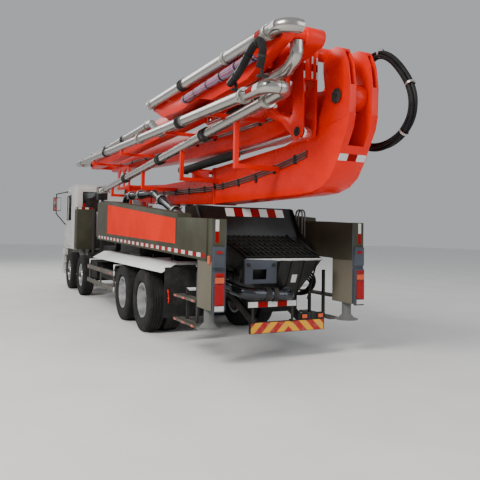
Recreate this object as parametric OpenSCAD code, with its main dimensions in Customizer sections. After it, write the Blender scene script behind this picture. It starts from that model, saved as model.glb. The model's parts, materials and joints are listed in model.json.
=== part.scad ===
// Concrete pump truck with four axles, swing-out legs and a five-section boom, folded for the road.
// X points forward, Y to the left and Z up, with the ground at Z = 0.
// Stations along X are counted from the last axle and moved to the middle of the truck by at_truck().

/* [Axles] */
// Distance from axle 1 to axle 2
steer_gap = 1910; // [1850:10:1950]
// Distance from axle 2 to axle 3
mid_gap = 4560; // [4520:10:4640]
// Distance from axle 3 to axle 4
drive_gap = 1380; // [1320:10:1420]
// Middle of the whole truck, ahead of the last axle
middle = 2225; // [2180:5:2270]
// Radius of every tyre
tyre_r = 545; // [520:1:550]
// Width of one tyre
tyre_w = 300; // [270:1:310]
// Outer face of the outer tyres, from the centreline
tyre_out_y = 1220; // [1200:1:1240]
// Distance between the two tyres of a twin wheel
twin_pitch = 340; // [330:1:350]
// Radius of the rim under the tyre bead
rim_r = 292; // [285:1:298]
// Air left between pieces that fit into each other
fit_gap = 0.4; // [0.3:0.1:0.8]

/* [Frame] */
// Outer face of the frame rails, from the centreline
rail_y = 430; // [410:1:440]
// Height of a frame rail
rail_h = 260; // [230:1:280]
// Top of the frame rails above the ground
rail_top = 1050; // [1040:1:1060]
// Wall of the frame rails
rail_wall = 14; // [10:1:18]
// Width of the flanges of a frame rail
rail_flange = 80; // [70:1:90]
// Rear end of the frame, behind the last axle
frame_tail = 1950; // [1930:5:1965]

/* [Cab] */
// Length of the cab
cab_len = 2250; // [2200:10:2280]
// Half width of the cab body
cab_y = 1150; // [1120:1:1180]
// Floor of the cab above the ground
cab_floor = 1200; // [1180:1:1230]
// Roof of the cab above the ground
cab_roof = 3120; // [3080:1:3130]
// Wall of the cab and its doors
cab_wall = 50; // [40:1:60]
// Air around each door
door_gap = 7; // [5:1:10]
// Height of the window sills above the ground
sill_z = 2060; // [2000:10:2120]

/* [Outriggers] */
// Outer face of the rear swing arms, from the centreline
arm_out_y = 1220; // [1200:1:1230]
// Thickness of a rear swing arm
arm_t = 220; // [200:1:230]
// Pivot of the rear swing arms, ahead of the last axle
arm_pivot_x = 3700; // [3650:10:3750]
// Centre of the rear jacks, behind the last axle
rear_jack_x = -2840; // [-2860:5:-2820]
// Radius of the jack tubes
jack_r = 68; // [55:1:75]
// Radius of the jack pads
pad_r = 170; // [150:1:180]
// Underside of the raised pads above the ground
pad_z = 500; // [480:5:540]
// Width of a front outrigger beam
beam_w = 170; // [150:1:180]
// Height of a front outrigger beam
beam_h = 240; // [200:1:260]

/* [Boom] */
// Pivot of section 1 on the turret: ahead of the last axle
root_x = 5000; // [4980:5:5020]
// Pivot of section 1 on the turret: above the ground
root_z = 2800; // [2790:5:2830]
// Slewing axis, ahead of the last axle
slew_x = 4500; // [4450:10:4550]
// Pivot of sections 1 and 2 at the tail: behind the last axle
tail_x = -4370; // [-4380:5:-4360]
// Pivot of sections 1 and 2 at the tail: above the ground
tail_z = 3350; // [3345:5:3360]
// Pivot of sections 2 and 3 over the cab
head_x = 7200; // [7150:10:7250]
// Pivot of sections 2 and 3: above the ground
head_z = 3720; // [3710:5:3730]
// Pivot of sections 3 and 4: behind the last axle
upper_tail_x = -4450; // [-4460:5:-4440]
// Pivot of sections 3 and 4: above the ground
upper_tail_z = 3930; // [3920:5:3940]
// Pivot of sections 4 and 5
tip_root_x = 0; // [-40:10:40]
// Pivot of sections 4 and 5: above the ground
tip_root_z = 4000; // [3990:5:4005]
// Half width of section 1 at its nose
nose_y = 200; // [190:1:204]
// Half width of the front part of section 1
neck_y = 150; // [140:1:152]
// Radius of the delivery pipes
pipe_r = 75; // [65:1:78]
// Air between a boom pin and its bore
pin_gap = 0.8; // [0.6:0.1:1]

/* [Concrete pump] */
// Rear rim of the hopper, behind the last axle
hopper_back_x = -2900; // [-2920:5:-2880]
// Front rim of the hopper, behind the last axle
hopper_front_x = -1900; // [-1950:5:-1880]
// Rear rim of the hopper above the ground
hopper_back_z = 1400; // [1380:5:1420]
// Front rim of the hopper above the ground
hopper_front_z = 1700; // [1680:5:1720]
// Top of the splash board above the ground
splash_z = 2170; // [2120:5:2180]
// Wall of the hopper
hopper_wall = 12; // [8:1:16]

/* [Hidden] */

boom_color = "orangered";
dark = "#2f3234";
olive = "#55584c";
light = "#d9dcda";
steel = "#8d9396";
rubber = "#1c1c1e";
beige = "#8f8a7c";

axle_4 = 0;
axle_3 = drive_gap;
axle_2 = axle_3 + mid_gap;
axle_1 = axle_2 + steer_gap;
tyre_y = tyre_out_y - tyre_w / 2;
twin_y = tyre_y - twin_pitch;
rail_inner = rail_y - rail_flange;
kingpin_y = tyre_y - 210;
kingpin_r = 25;
spindle_r = 45;
hub_r = 105;
drum_r = 195;

cab_back = axle_1 - 800;
cab_front = cab_back + cab_len;
door_front = cab_front - 330;
door_len = 980;
door_bottom = cab_floor + 80;
door_top = cab_roof - 170;
door_hinge_z = [1500, 1960];
hinge_x = door_front - door_gap / 2;
hinge_y = cab_y + 13;
hinge_r = 12;
hinge_h = 50;
glass_gap = 0.3;

arm_in_y = arm_out_y - arm_t;
arm_mid_y = arm_out_y - arm_t / 2;
arm_pin_r = 45;
post_len = 480;
post_back = rear_jack_x - 270;
jack_bore = jack_r + fit_gap;
front_leg_x = axle_2 + 860;
front_leg_half = 215;
front_leg_in_y = 780;
front_leg_z = 1220;
front_leg_top = 2430;
beam_z = 1300;
beam_gap = 5;

step_x = -790;
pin_big = 70;
pin_small = 50;
slot_y = 112;
root_y = 104;
horn_in_y = 240;
horn_out_y = 420;
horn_plate = 26;
lane_3 = [500, 725];
lane_5 = [755, 880];
lane_4 = [900, 1035];
pipe_between_y = 812;
pipe_low_y = 860;
pipe_out_y = 1120;
ring_y = (pipe_low_y + pipe_out_y) / 2;
ring_half = 32;
ring_t = 16;
ring_thin = 7;
rest_y = 470;
lamp_rows = [[755, 850], [865, 1040], [1055, 1140], [1155, 1245]];
splash_lean = 265;
splash_top_x = hopper_front_x + 5 + splash_lean;
stand_x = 5600;
hose_r = 60;
hose_route = [[-3560, -530, 3420], [-3700, -530, 3560], [-3850, -530, 3800], [-4050, -530, 3980], [-4250, -530, 4000],
    [-4450, -530, 3880], [-4620, -530, 3700], [-4760, -530, 3500], [-4820, -530, 3300], [-4790, -530, 3110],
    [-4660, -530, 2960], [-4460, -530, 2860], [-4240, -530, 2830], [-4000, -530, 2870], [-3780, -530, 2970],
    [-3600, -530, 3120], [-3500, -530, 3260]];

// Moves what was set out from the last axle into the frame of the whole truck.
module at_truck() {
    translate([-middle, 0, 0]) children();
}

// Block between two corners.
module block(a, b) {
    translate(a) cube(b - a);
}

// Upright plate: an outline in X and Z, from y0 to y1.
module plate(outline, y0, y1) {
    translate([0, y1, 0]) rotate([90, 0, 0]) linear_extrude(y1 - y0) polygon(outline);
}

// Level plate: an outline in X and Y, from z0 to z1.
module slab(outline, z0, z1) {
    translate([0, 0, z0]) linear_extrude(z1 - z0) polygon(outline);
}

// Round bar across the truck.
module bar_y(x, z, r, y0, y1, facets = 32) {
    translate([x, y1, z]) rotate([90, 0, 0]) cylinder(r = r, h = y1 - y0, $fn = facets);
}

// Round bar along the truck.
module bar_x(y, z, r, x0, x1, facets = 32) {
    translate([x0, y, z]) rotate([0, 90, 0]) cylinder(r = r, h = x1 - x0, $fn = facets);
}

// Upright round bar.
module bar_z(x, y, r, z0, z1, facets = 32) {
    translate([x, y, z0]) cylinder(r = r, h = z1 - z0, $fn = facets);
}

// Round bar between two points.
module rod(a, b, r, facets = 24) {
    d = b - a;
    translate(a) rotate([0, acos(d.z / norm(d)), atan2(d.y, d.x)]) cylinder(r = r, h = norm(d), $fn = facets);
}

// Pipe through a row of points, with a slightly thicker elbow of about radius bend at each of them.
module pipe_run(points, r, bend = 200) {
    last = len(points) - 1;
    function unit(v) = v / norm(v);
    // Half the turn at point i, and how far before and after the point the bend begins and ends
    function half_turn(i) = i == 0 || i == last ? 0
        : acos(max(-1, min(1, unit(points[i] - points[i - 1]) * unit(points[i + 1] - points[i])))) / 2;
    function cut_back(i) = i == 0 || i == last ? 0
        : min(bend * tan(half_turn(i)), (i == 1 ? 0.98 : 0.48) * norm(points[i] - points[i - 1]),
            (i == last - 1 ? 0.98 : 0.48) * norm(points[i + 1] - points[i]));
    for (i = [0 : last - 1]) let (d = unit(points[i + 1] - points[i]))
        rod(points[i] + d * (i == 0 ? 0 : cut_back(i) - 2), points[i + 1] - d * (i == last - 1 ? 0 : cut_back(i + 1) - 2), r, 32);
    for (i = [1 : last - 1]) {
        before = unit(points[i] - points[i - 1]);
        after = unit(points[i + 1] - points[i]);
        radius = cut_back(i) / tan(half_turn(i));
        out = unit(before - after);
        axis = unit(cross(before, after));
        centre = points[i] - out * radius / cos(half_turn(i));
        lean = acos(axis.z);
        heading = atan2(axis.y, axis.x);
        from = atan2(out * [-sin(heading), cos(heading), 0], out * [cos(lean) * cos(heading), cos(lean) * sin(heading), -sin(lean)]);
        translate(centre) rotate([0, lean, heading]) rotate([0, 0, from - half_turn(i)])
            rotate_extrude(angle = 2 * half_turn(i), $fn = 64) translate([radius, 0]) circle(r = r + 2, $fn = 32);
    }
}

// Coupling rings round a straight pipe from a to b, at these shares of its length.
module rings(a, b, shares, r) {
    d = (b - a) / norm(b - a);
    for (share = shares) rod(a + (b - a) * share - d * ring_half, a + (b - a) * share + d * ring_half, r, 32);
}

// Round tube swept along points, with a ring at each.
module tube_along(points, r, facets) {
    last = len(points) - 1;
    rings = [for (i = [0 : last])
        let (d = points[min(i + 1, last)] - points[max(i - 1, 0)])
        let (t = d / norm(d))
        let (u = cross(t, [0, 1, 0]) / norm(cross(t, [0, 1, 0])))
        let (v = cross(t, u))
        for (k = [0 : facets - 1]) points[i] + r * (cos(k * 360 / facets) * u + sin(k * 360 / facets) * v)];
    sides = [for (i = [0 : last - 1], k = [0 : facets - 1])
        let (n = (k + 1) % facets)
        [i * facets + k, i * facets + n, (i + 1) * facets + n, (i + 1) * facets + k]];
    ends = [[for (k = [facets - 1 : -1 : 0]) k], [for (k = [0 : facets - 1]) last * facets + k]];
    polyhedron(points = rings, faces = concat(sides, ends));
}

// Both sides of the truck.
module both_sides() {
    children();
    mirror([0, 1, 0]) children();
}

// Left side as drawn, or its mirror image.
module side(s) {
    mirror([0, s < 0 ? 1 : 0, 0]) children();
}

// Wheels

// One tyre, standing across Y, its outer face towards +Y.
module tyre_ring() {
    h = tyre_w / 2;
    bead = h - 38;
    color(rubber) rotate([-90, 0, 0]) rotate_extrude($fn = 40) polygon([
        [rim_r + fit_gap, -bead], [rim_r + 30, -bead], [rim_r + 60, -h + 6], [tyre_r - 60, -h],
        [tyre_r - 8, -h + 22], [tyre_r, -h + 40], [tyre_r, h - 40], [tyre_r - 8, h - 22],
        [tyre_r - 60, h], [rim_r + 60, h - 6], [rim_r + 30, bead], [rim_r + fit_gap, bead]
    ]);
}

module tyres(x, s, twin) {
    at_truck() side(s) translate([x, tyre_y, tyre_r]) {
        tyre_ring();
        if (twin) translate([0, -twin_pitch, 0]) tyre_ring();
    }
}

// Rim barrel with its two flanges.
module rim_barrel() {
    h = tyre_w / 2 - 38;
    rotate([-90, 0, 0]) rotate_extrude($fn = 40) polygon([
        [rim_r - 22, -h - 10], [rim_r + 14, -h - 10], [rim_r + 14, -h - fit_gap], [rim_r, -h - fit_gap],
        [rim_r, h + fit_gap], [rim_r + 14, h + fit_gap], [rim_r + 14, h + 10], [rim_r - 22, h + 10]
    ]);
}

// Disc rim of a steered wheel: disc bulging outwards, hub and hand holes.
module front_rim(x, s) {
    hole_count = 8;
    at_truck() color(steel) side(s) translate([x, tyre_y, tyre_r]) difference() {
        union() {
            rim_barrel();
            rotate([-90, 0, 0]) rotate_extrude($fn = 40) polygon([
                [0, -20], [hub_r, -20], [hub_r + 10, 60], [rim_r - 10, 20], [rim_r - 10, 38],
                [hub_r + 30, 84], [hub_r, 84], [hub_r - 20, 128], [0, 134]
            ]);
        }
        for (i = [0 : hole_count - 1]) rotate([0, i * 360 / hole_count, 0])
            translate([200, 0, 0]) rotate([-90, 0, 0]) cylinder(r = 28, h = 200, $fn = 20);
        rotate([-90, 0, 0]) translate([0, 0, -40]) cylinder(r = spindle_r + fit_gap, h = 110, $fn = 32);
    }
}

// Deeply dished rims of a twin wheel with their common hub.
module twin_rim(x, s) {
    hole_count = 8;
    at_truck() color(steel) side(s) translate([x, tyre_y, tyre_r]) difference() {
        union() {
            rim_barrel();
            translate([0, -twin_pitch, 0]) rim_barrel();
            rotate([-90, 0, 0]) rotate_extrude($fn = 40) polygon([
                [0, -240], [hub_r + 25, -240], [hub_r + 40, -140], [rim_r - 10, -150], [rim_r - 10, -120],
                [hub_r + 60, -90], [hub_r + 20, -90], [hub_r, 0], [hub_r - 20, 20], [0, 20]
            ]);
            rotate([-90, 0, 0]) translate([0, 0, -222]) difference() {
                cylinder(r = rim_r - 5, h = 72, $fn = 40);
                translate([0, 0, -1]) cylinder(r = rim_r - 30, h = 74, $fn = 40);
            }
        }
        for (i = [0 : hole_count - 1]) rotate([0, i * 360 / hole_count, 0])
            translate([220, -300, 0]) rotate([-90, 0, 0]) cylinder(r = 28, h = 280, $fn = 20);
        rotate([-90, 0, 0]) translate([0, 0, -260]) cylinder(r = spindle_r + fit_gap, h = 180, $fn = 32);
    }
}

// Steering knuckle: two lugs round the kingpin, plate, drum and spindle.
module knuckle(x, s) {
    at_truck() color(dark) side(s) translate([x, 0, tyre_r]) {
        difference() {
            union() {
                for (z = [-115, 75]) {
                    bar_z(0, kingpin_y, 48, z, z + 40);
                    block([-45, kingpin_y, z], [45, kingpin_y + 75, z + 40]);
                }
                block([-60, kingpin_y + 60, -115], [60, kingpin_y + 80, 115]);
            }
            bar_z(0, kingpin_y, kingpin_r + fit_gap, -120, 120);
        }
        bar_y(0, 0, drum_r, kingpin_y + 75, kingpin_y + 135, 40);
        bar_y(0, 0, spindle_r, kingpin_y + 130, tyre_y + 50);
    }
}

// Frame

// One frame rail: a channel open to the middle.
module rail() {
    difference() {
        block([-frame_tail, rail_inner, rail_top - rail_h], [cab_front - 300, rail_y, rail_top]);
        block([-frame_tail - 1, rail_inner - 1, rail_top - rail_h + rail_wall],
            [cab_front - 299, rail_y - rail_wall, rail_top - rail_wall]);
    }
}

module chassis() {
    cross_x = [-frame_tail + 50, -600, 690, 2400, 3600, 4900, 6700, cab_front - 400];
    board_x = -2860;
    at_truck() color(dark) {
        both_sides() rail();
        for (x = cross_x)
            block([x - 40, -rail_y + rail_wall / 2, rail_top - rail_h + 40],
                [x + 40, rail_y - rail_wall / 2, rail_top - 40]);
        // Bumper bar and its stays under the tail
        block([board_x - 40, -670, 390], [board_x, 530, 545]);
        block([board_x - 30, -665, 544], [board_x - 5, -240, 640]);
        for (y = [-600, -330]) block([board_x - 48, y - 45, 560], [board_x - 29, y + 45, 625]);
        both_sides() plate([[board_x - 10, 400], [board_x - 10, 540], [-frame_tail + 40, 900],
            [-frame_tail + 40, 800]], rail_inner + 10, rail_y - 20);
        // Seats of the cab on the rails
        both_sides() for (x = [cab_back + 150, cab_front - 450])
            block([x - 60, rail_inner, rail_top - 1], [x + 60, rail_y, cab_floor]);
    }
}

// Leaf spring pack along X under a rail.
module leaf_spring(x, z, half) {
    for (leaf = [0 : 3])
        block([x - half + leaf * half / 5, rail_inner, z - leaf * 22], [x + half - leaf * half / 5, rail_y, z + 23 - leaf * 22]);
}

module axles() {
    at_truck() color(dark) {
        for (x = [axle_1, axle_2]) both_sides() {
            // Beam, yoke end and kingpin
            block([x - 50, -1, tyre_r - 160], [x + 50, kingpin_y - 160, tyre_r - 50]);
            plate([[x - 50, tyre_r - 160], [x + 50, tyre_r - 160], [x + 50, tyre_r - 50], [x - 50, tyre_r - 50]],
                kingpin_y - 161, kingpin_y - 60);
            block([x - 45, kingpin_y - 120, tyre_r - 70], [x + 45, kingpin_y - 60, tyre_r + 70]);
            block([x - 40, kingpin_y - 61, tyre_r - 70], [x + 40, kingpin_y, tyre_r + 70]);
            bar_z(x, kingpin_y, 44, tyre_r - 70, tyre_r + 70);
            bar_z(x, kingpin_y, kingpin_r, tyre_r - 118, tyre_r + 118);
            leaf_spring(x, tyre_r + 60, 640);
            block([x - 60, rail_inner + 5, tyre_r - 52], [x + 60, rail_y - 5, tyre_r]);
            for (end = [-1, 1])
                block([x + end * 600 - 25, rail_inner + 10, tyre_r + 60], [x + end * 600 + 25, rail_y - 10, rail_top - rail_h]);
        }
        for (x = [axle_3, axle_4]) {
            bar_y(x, tyre_r, 85, -twin_y + 170, twin_y - 170);
            translate([x, 0, tyre_r]) sphere(r = 230, $fn = 40);
            both_sides() {
                bar_y(x, tyre_r, spindle_r, twin_y - 180, tyre_y - 85);
                block([x - 70, rail_inner, tyre_r + 60], [x + 70, rail_y, tyre_r + 200]);
            }
        }
        both_sides() {
            leaf_spring((axle_3 + axle_4) / 2, tyre_r + 200, (axle_3 - axle_4) / 2 + 90);
            block([(axle_3 + axle_4) / 2 - 110, rail_inner, tyre_r + 200], [(axle_3 + axle_4) / 2 + 110, rail_y, rail_top - rail_h]);
        }
        rod([axle_3, 0, tyre_r], [axle_2 + 988, 0, 720], 55);
        rod([axle_4, 0, tyre_r], [axle_3, 0, tyre_r], 55);
    }
}

module engine() {
    at_truck() color(steel) {
        block([axle_1 - 500, -330, 620], [axle_1 + 900, 330, 1120]);
        block([axle_2 + 990, -200, 640], [axle_1 - 480, 200, 1040]);
        // Seats on the rails
        both_sides() for (x = [axle_1 - 300, axle_1 + 700]) block([x - 60, 329, rail_top - rail_h], [x + 60, rail_inner, rail_top]);
    }
}

// Cab

cab_outline = [[cab_back, cab_floor], [cab_back, cab_roof - 60], [cab_back + 120, cab_roof],
    [cab_front - 620, cab_roof], [cab_front - 330, cab_roof - 130], [cab_front - 60, sill_z],
    [cab_front, cab_floor + 150], [cab_front, cab_floor]];
cab_hollow = [[cab_back + cab_wall, cab_floor + cab_wall], [cab_back + cab_wall, cab_roof - 60 - cab_wall],
    [cab_back + 120, cab_roof - cab_wall], [cab_front - 640, cab_roof - cab_wall],
    [cab_front - 370, cab_roof - 150 - cab_wall / 2], [cab_front - 60 - cab_wall * 1.1, sill_z],
    [cab_front - cab_wall, cab_floor + 150], [cab_front - cab_wall, cab_floor + cab_wall]];
door_outline = [[door_front - door_len, door_bottom], [door_front - door_len, door_top],
    [door_front - 60, door_top], [door_front, sill_z], [door_front, door_bottom]];
door_window = [[door_front - door_len + 90, sill_z + 20], [door_front - door_len + 90, door_top - 90],
    [door_front - 130, door_top - 90], [door_front - 85, sill_z + 20]];

module cab() {
    at_truck() color(light) difference() {
        plate(cab_outline, -cab_y, cab_y);
        plate(cab_hollow, -cab_y + cab_wall, cab_y - cab_wall);
        // Windscreen, rear window and side rear windows
        block([cab_front - 420, -cab_y + 130, sill_z + 40], [cab_front + 10, cab_y - 130, cab_roof - 190]);
        for (s = [-1, 1]) block([cab_back - 10, s * 760 - 230, 2330], [cab_back + cab_wall + 10, s * 760 + 230, 2900]);
        plate(door_outline, cab_y - cab_wall - 10, cab_y + 10);
        plate(door_outline, -cab_y - 10, -cab_y + cab_wall + 10);
    }
    at_truck() color(light) {
        // Grille: slats between two posts
        for (z = [1420 : 90 : 1870]) block([cab_front - 70, -800, z], [cab_front + 12, 800, z + 34]);
        both_sides() block([cab_front - 70, 799, 1390], [cab_front + 16, 835, 1930]);
        block([cab_front - 90, -820, 1925], [cab_front + 16, 820, 1960]);
        // Sun visor and roof lamps
        plate([[cab_front - 350, 2972], [cab_front - 150, 2925], [cab_front - 148, 2938], [cab_front - 350, 2995]], -1000, 1000);
        for (y = [-800, -400, 0, 400, 800]) block([cab_front - 710, y - 45, cab_roof - 1], [cab_front - 640, y + 45, cab_roof + 34]);
    }
    // Fixed halves of the door hinges
    at_truck() color(dark) both_sides() for (z = door_hinge_z) {
        bar_z(hinge_x, hinge_y, hinge_r, z - hinge_h, z - fit_gap, 20);
        block([hinge_x, cab_y - 1, z - hinge_h], [hinge_x + 60, hinge_y, z - fit_gap]);
    }
}

module cab_glass() {
    at_truck() color("lightblue") {
        plate([[cab_front - 78, sill_z + 40 + glass_gap], [cab_front - 90, sill_z + 40 + glass_gap],
            [cab_front - 352, cab_roof - 190 - glass_gap], [cab_front - 340, cab_roof - 190 - glass_gap]],
            -cab_y + 130 + glass_gap, cab_y - 130 - glass_gap);
        for (s = [-1, 1]) block([cab_back + 20, s * 760 - 230 + glass_gap, 2330 + glass_gap],
            [cab_back + 30, s * 760 + 230 - glass_gap, 2900 - glass_gap]);
    }
}

module door(s) {
    at_truck() color(dark) side(s) for (z = door_hinge_z) {
        bar_z(hinge_x, hinge_y, hinge_r, z, z + hinge_h, 20);
        block([hinge_x - 60, cab_y - 1, z], [hinge_x, hinge_y, z + hinge_h]);
    }
    // Handle
    at_truck() color(dark) side(s) {
        for (x = [70, 200]) block([door_front - door_len + x, cab_y - 1, 1690], [door_front - door_len + x + 22, cab_y + 26, 1714]);
        block([door_front - door_len + 60, cab_y + 18, 1690], [door_front - door_len + 232, cab_y + 34, 1714]);
    }
    at_truck() color(light) side(s) difference() {
        plate([
            [door_front - door_len + door_gap, door_bottom + door_gap],
            [door_front - door_len + door_gap, door_top - door_gap],
            [door_front - 60 - door_gap * 1.4, door_top - door_gap],
            [door_front - door_gap, sill_z], [door_front - door_gap, door_bottom + door_gap]
        ], cab_y - cab_wall, cab_y);
        plate(door_window, cab_y - cab_wall - 10, cab_y + 10);
    }
}

module cab_inside() {
    seat_x = cab_front - 1150;
    at_truck() color(dark) {
        for (s = [-1, 1]) {
            block([seat_x - 260, s * 620 - 250, cab_floor + 380], [seat_x + 260, s * 620 + 250, cab_floor + 520]);
            block([seat_x - 340, s * 620 - 240, cab_floor + 380], [seat_x - 240, s * 620 + 240, cab_floor + 1180]);
            block([seat_x - 200, s * 620 - 200, cab_floor + cab_wall], [seat_x + 200, s * 620 + 200, cab_floor + 381]);
        }
        block([cab_front - 520, -cab_y + cab_wall + 15, cab_floor + 560], [cab_front - 120, cab_y - cab_wall - 15, cab_floor + 820]);
        block([cab_front - 170, -cab_y + 200, cab_floor + cab_wall], [cab_front - 120, cab_y - 200, cab_floor + 600]);
        // Steering wheel: rim, hub with three spokes, and column into the dashboard
        translate([cab_front - 640, 620, cab_floor + 860]) rotate([0, 60, 0]) {
            rotate_extrude($fn = 40) translate([208, 15]) circle(r = 15, $fn = 16);
            cylinder(r = 45, h = 30, $fn = 32);
            translate([0, 0, 10]) cylinder(r = 26, h = 240, $fn = 24);
            for (a = [90, 210, 330]) rotate([0, 0, a]) translate([30, -14, 9]) cube([176, 28, 12]);
        }
    }
}

module front_end() {
    at_truck() color(light) {
        difference() {
            block([cab_front - 420, -cab_y - 40, 380], [cab_front + 60, cab_y + 40, cab_floor - 30]);
            block([cab_front - 480, -cab_y + 60, 370], [cab_front - 30, cab_y - 60, cab_floor - 20]);
            for (s = [-1, 1]) {
                block([cab_front - 40, s * 880 - 190, 560], [cab_front + 70, s * 880 + 190, 760]);
                block([cab_front - 430, s * (cab_y + 10) - 90, 480], [cab_front - 130, s * (cab_y + 10) + 90, 980]);
            }
            // Socket of the towing eye
            bar_x(450, 620, 24, cab_front - 40, cab_front + 70);
        }
        // Twin headlamps on their back plates, treads of the steps, and lower grille
        both_sides() {
            block([cab_front - 45, 680, 550], [cab_front - 12, 1080, 770]);
            for (y = [795, 965]) bar_x(y, 660, 74, cab_front - 13, cab_front + 45);
            for (z = [500, 730]) block([cab_front - 420, cab_y - 60, z], [cab_front - 129, cab_y + 35, z + 25]);
        }
        for (z = [860 : 70 : 1070]) block([cab_front + 50, -700, z], [cab_front + 68, 700, z + 26]);
        both_sides() block([cab_front - 300, rail_inner, 900], [cab_front - 29, rail_y, 1000]);
    }
}

module mirrors() {
    mirror_x = cab_front - 120;
    at_truck() color(dark) both_sides() {
        rod([mirror_x - 345, cab_y + 20, 2995], [mirror_x, cab_y + 300, 2930], 16);
        rod([mirror_x - 60, cab_y + 20, 1960], [mirror_x, cab_y + 300, 2300], 16);
        block([mirror_x - 380, cab_y, 2966], [mirror_x - 310, cab_y + 24, 3016]);
        block([mirror_x - 90, cab_y, 1930], [mirror_x - 30, cab_y + 24, 1990]);
        bar_z(mirror_x, cab_y + 300, 16, 2290, 2940);
        block([mirror_x - 55, cab_y + 170, 2380], [mirror_x - 10, cab_y + 400, 2820]);
    }
}

// Side equipment

module tanks() {
    at_truck() color(dark) {
        // Fuel tank on the right, air tanks and battery box on the left
        block([axle_3 + 900, -1130, 480], [axle_2 - 900, -rail_y - 60, 1010]);
        for (x = [axle_3 + 1000, axle_2 - 1000]) block([x - 30, -rail_y - 70, 820], [x + 30, -rail_y, 980]);
        for (x = [axle_3 + 1150, axle_2 - 1150]) block([x - 25, -1138, 472], [x + 25, -rail_y - 62, 1018]);
        bar_z(axle_2 - 1350, -980, 52, 1009, 1045);
        block([axle_2 - 1560, rail_y + 60, 560], [axle_2 - 900, 1080, 980]);
        block([axle_2 - 1300, rail_y, 840], [axle_2 - 1200, rail_y + 70, 960]);
        for (y = [rail_y + 200, rail_y + 480]) {
            bar_x(y, 720, 125, axle_3 + 920, axle_2 - 1700);
            for (x = [axle_3 + 1050, axle_2 - 1850]) block([x - 25, y - 130, 800], [x + 25, y + 130, 870]);
        }
        for (x = [axle_3 + 1050, axle_2 - 1850]) block([x - 20, rail_y, 860], [x + 20, rail_y + 610, 900]);
    }
}

module guards() {
    guard_front = axle_2 - 940;
    guard_back = axle_3 + 770;
    flap_x = -1300;
    at_truck() {
        color(beige) both_sides() {
            for (z = [515, 850]) block([guard_back, 1170, z - 50], [guard_front, 1200, z + 50]);
            for (x = [guard_back + 120, (guard_back + guard_front) / 2, guard_front - 120])
                block([x - 25, 1140, 465], [x + 25, 1170, 900]);
            for (x = [guard_back + 120, guard_front - 120]) block([x - 20, rail_y, 1015], [x + 20, 1170, 1040]);
            for (x = [guard_back + 120, guard_front - 120]) block([x - 20, 1140, 899], [x + 20, 1170, 1040]);
        }
        // Tilted mudguard sheet over the twin wheels, and arches over axle 2
        color(light) both_sides() {
            translate([-1150, 0, 0]) rotate([90, 0, 90]) linear_extrude(5400)
                polygon([[1215, 1104], [1221, 1108], [950, 1262], [790, 1262], [790, 1256], [948, 1256]]);
            for (x = [-700, 700, 2850]) {
                block([x - 20, rail_y, 1200], [x + 20, 960, 1257]);
                block([x - 20, rail_y, rail_top - 150], [x + 20, rail_y + 20, 1230]);
            }
            block([4000, 760, 1200], [4040, 960, 1257]);
        }
        color(dark) both_sides() {
            block([flap_x, 560, 420], [flap_x + 15, 1210, 1200]);
            block([flap_x - 20, rail_y, 900], [flap_x, 700, 1000]);
            // Steps on their post, held by an arm from the frame
            for (z = [455, 800]) difference() {
                block([-2540, 1030, z], [-1660, 1190, z + 34]);
                for (x = [-2500 : 110 : -1740]) block([x, 1055, z - 1], [x + 80, 1165, z + 35]);
            }
            block([-2330, 1040, 456], [-2290, 1080, 1200]);
            block([-1940, 1040, 456], [-1900, 1080, 940]);
            block([-1940, rail_y, 900], [-1900, 1080, 940]);
        }
    }
}

// Outriggers

module outrigger_frame() {
    housing_half = beam_w + 2 * beam_gap + 15;
    at_truck() color(dark) {
        // Subframe along the rails
        both_sides() block([-frame_tail, rail_inner, rail_top], [front_leg_x + 200, rail_y, rail_top + 140]);
        for (x = [-frame_tail + 100, 300, 1900]) block([x - 40, -rail_inner, rail_top + 20], [x + 40, rail_inner, rail_top + 120]);
        // Pedestal under the turret
        difference() {
            block([slew_x - 700, -760, rail_top + 60], [slew_x + 700, 760, rail_top + 320]);
            bar_z(slew_x, 0, 300, rail_top, rail_top + 400);
        }
        bar_z(slew_x, 0, 560, rail_top + 300, rail_top + 340, 48);
        // Arms out to the pivots of the rear swing arms, and the pivot pins
        both_sides() {
            for (z = [1515, 2440]) slab([[arm_pivot_x - 110, arm_in_y + 20], [arm_pivot_x - 110, arm_out_y - 70],
                [arm_pivot_x + 110, arm_out_y - 70], [slew_x - 560, 760], [slew_x - 560, 600], [slew_x - 700, 600]],
                z, z + 30);
            block([slew_x - 720, 600, 1350], [slew_x - 560, 760, 2470]);
            bar_z(arm_pivot_x, arm_mid_y, arm_pin_r, 1516, 2469);
        }
        // Box on a post behind the cab, with an upright duct beside it
        block([stand_x - 30, rail_y - 1, rail_top + 80], [stand_x + 30, 980, rail_top + 140]);
        block([stand_x - 30, 700, rail_top + 81], [stand_x + 30, 760, 2601]);
        block([stand_x - 150, 625, 2600], [stand_x + 150, 865, 2940]);
        bar_z(stand_x, 930, 50, rail_top + 100, 2350);
        // Housing of the front beams
        difference() {
            block([front_leg_x - housing_half, -front_leg_in_y + 25, beam_z - 45], [front_leg_x + housing_half, front_leg_in_y - 25, beam_z + beam_h + 45]);
            for (s = [-1, 1]) block([front_leg_x + s * (beam_w / 2 + 4) - beam_w / 2 - fit_gap, -front_leg_in_y, beam_z - fit_gap],
                [front_leg_x + s * (beam_w / 2 + 4) + beam_w / 2 + fit_gap, front_leg_in_y, beam_z + beam_h + fit_gap]);
        }
        both_sides() block([front_leg_x - housing_half, rail_inner, rail_top + 139], [front_leg_x + housing_half, rail_y, beam_z - 44]);
    }
}

arm_outline = [[arm_pivot_x + 110, 1560], [rear_jack_x - 130, 1390], [rear_jack_x - 130, 1930],
    [-2290, 1960], [-1850, 1970], [-1840, 2030], [arm_pivot_x - 800, 2430], [arm_pivot_x + 110, 2430]];

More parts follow.
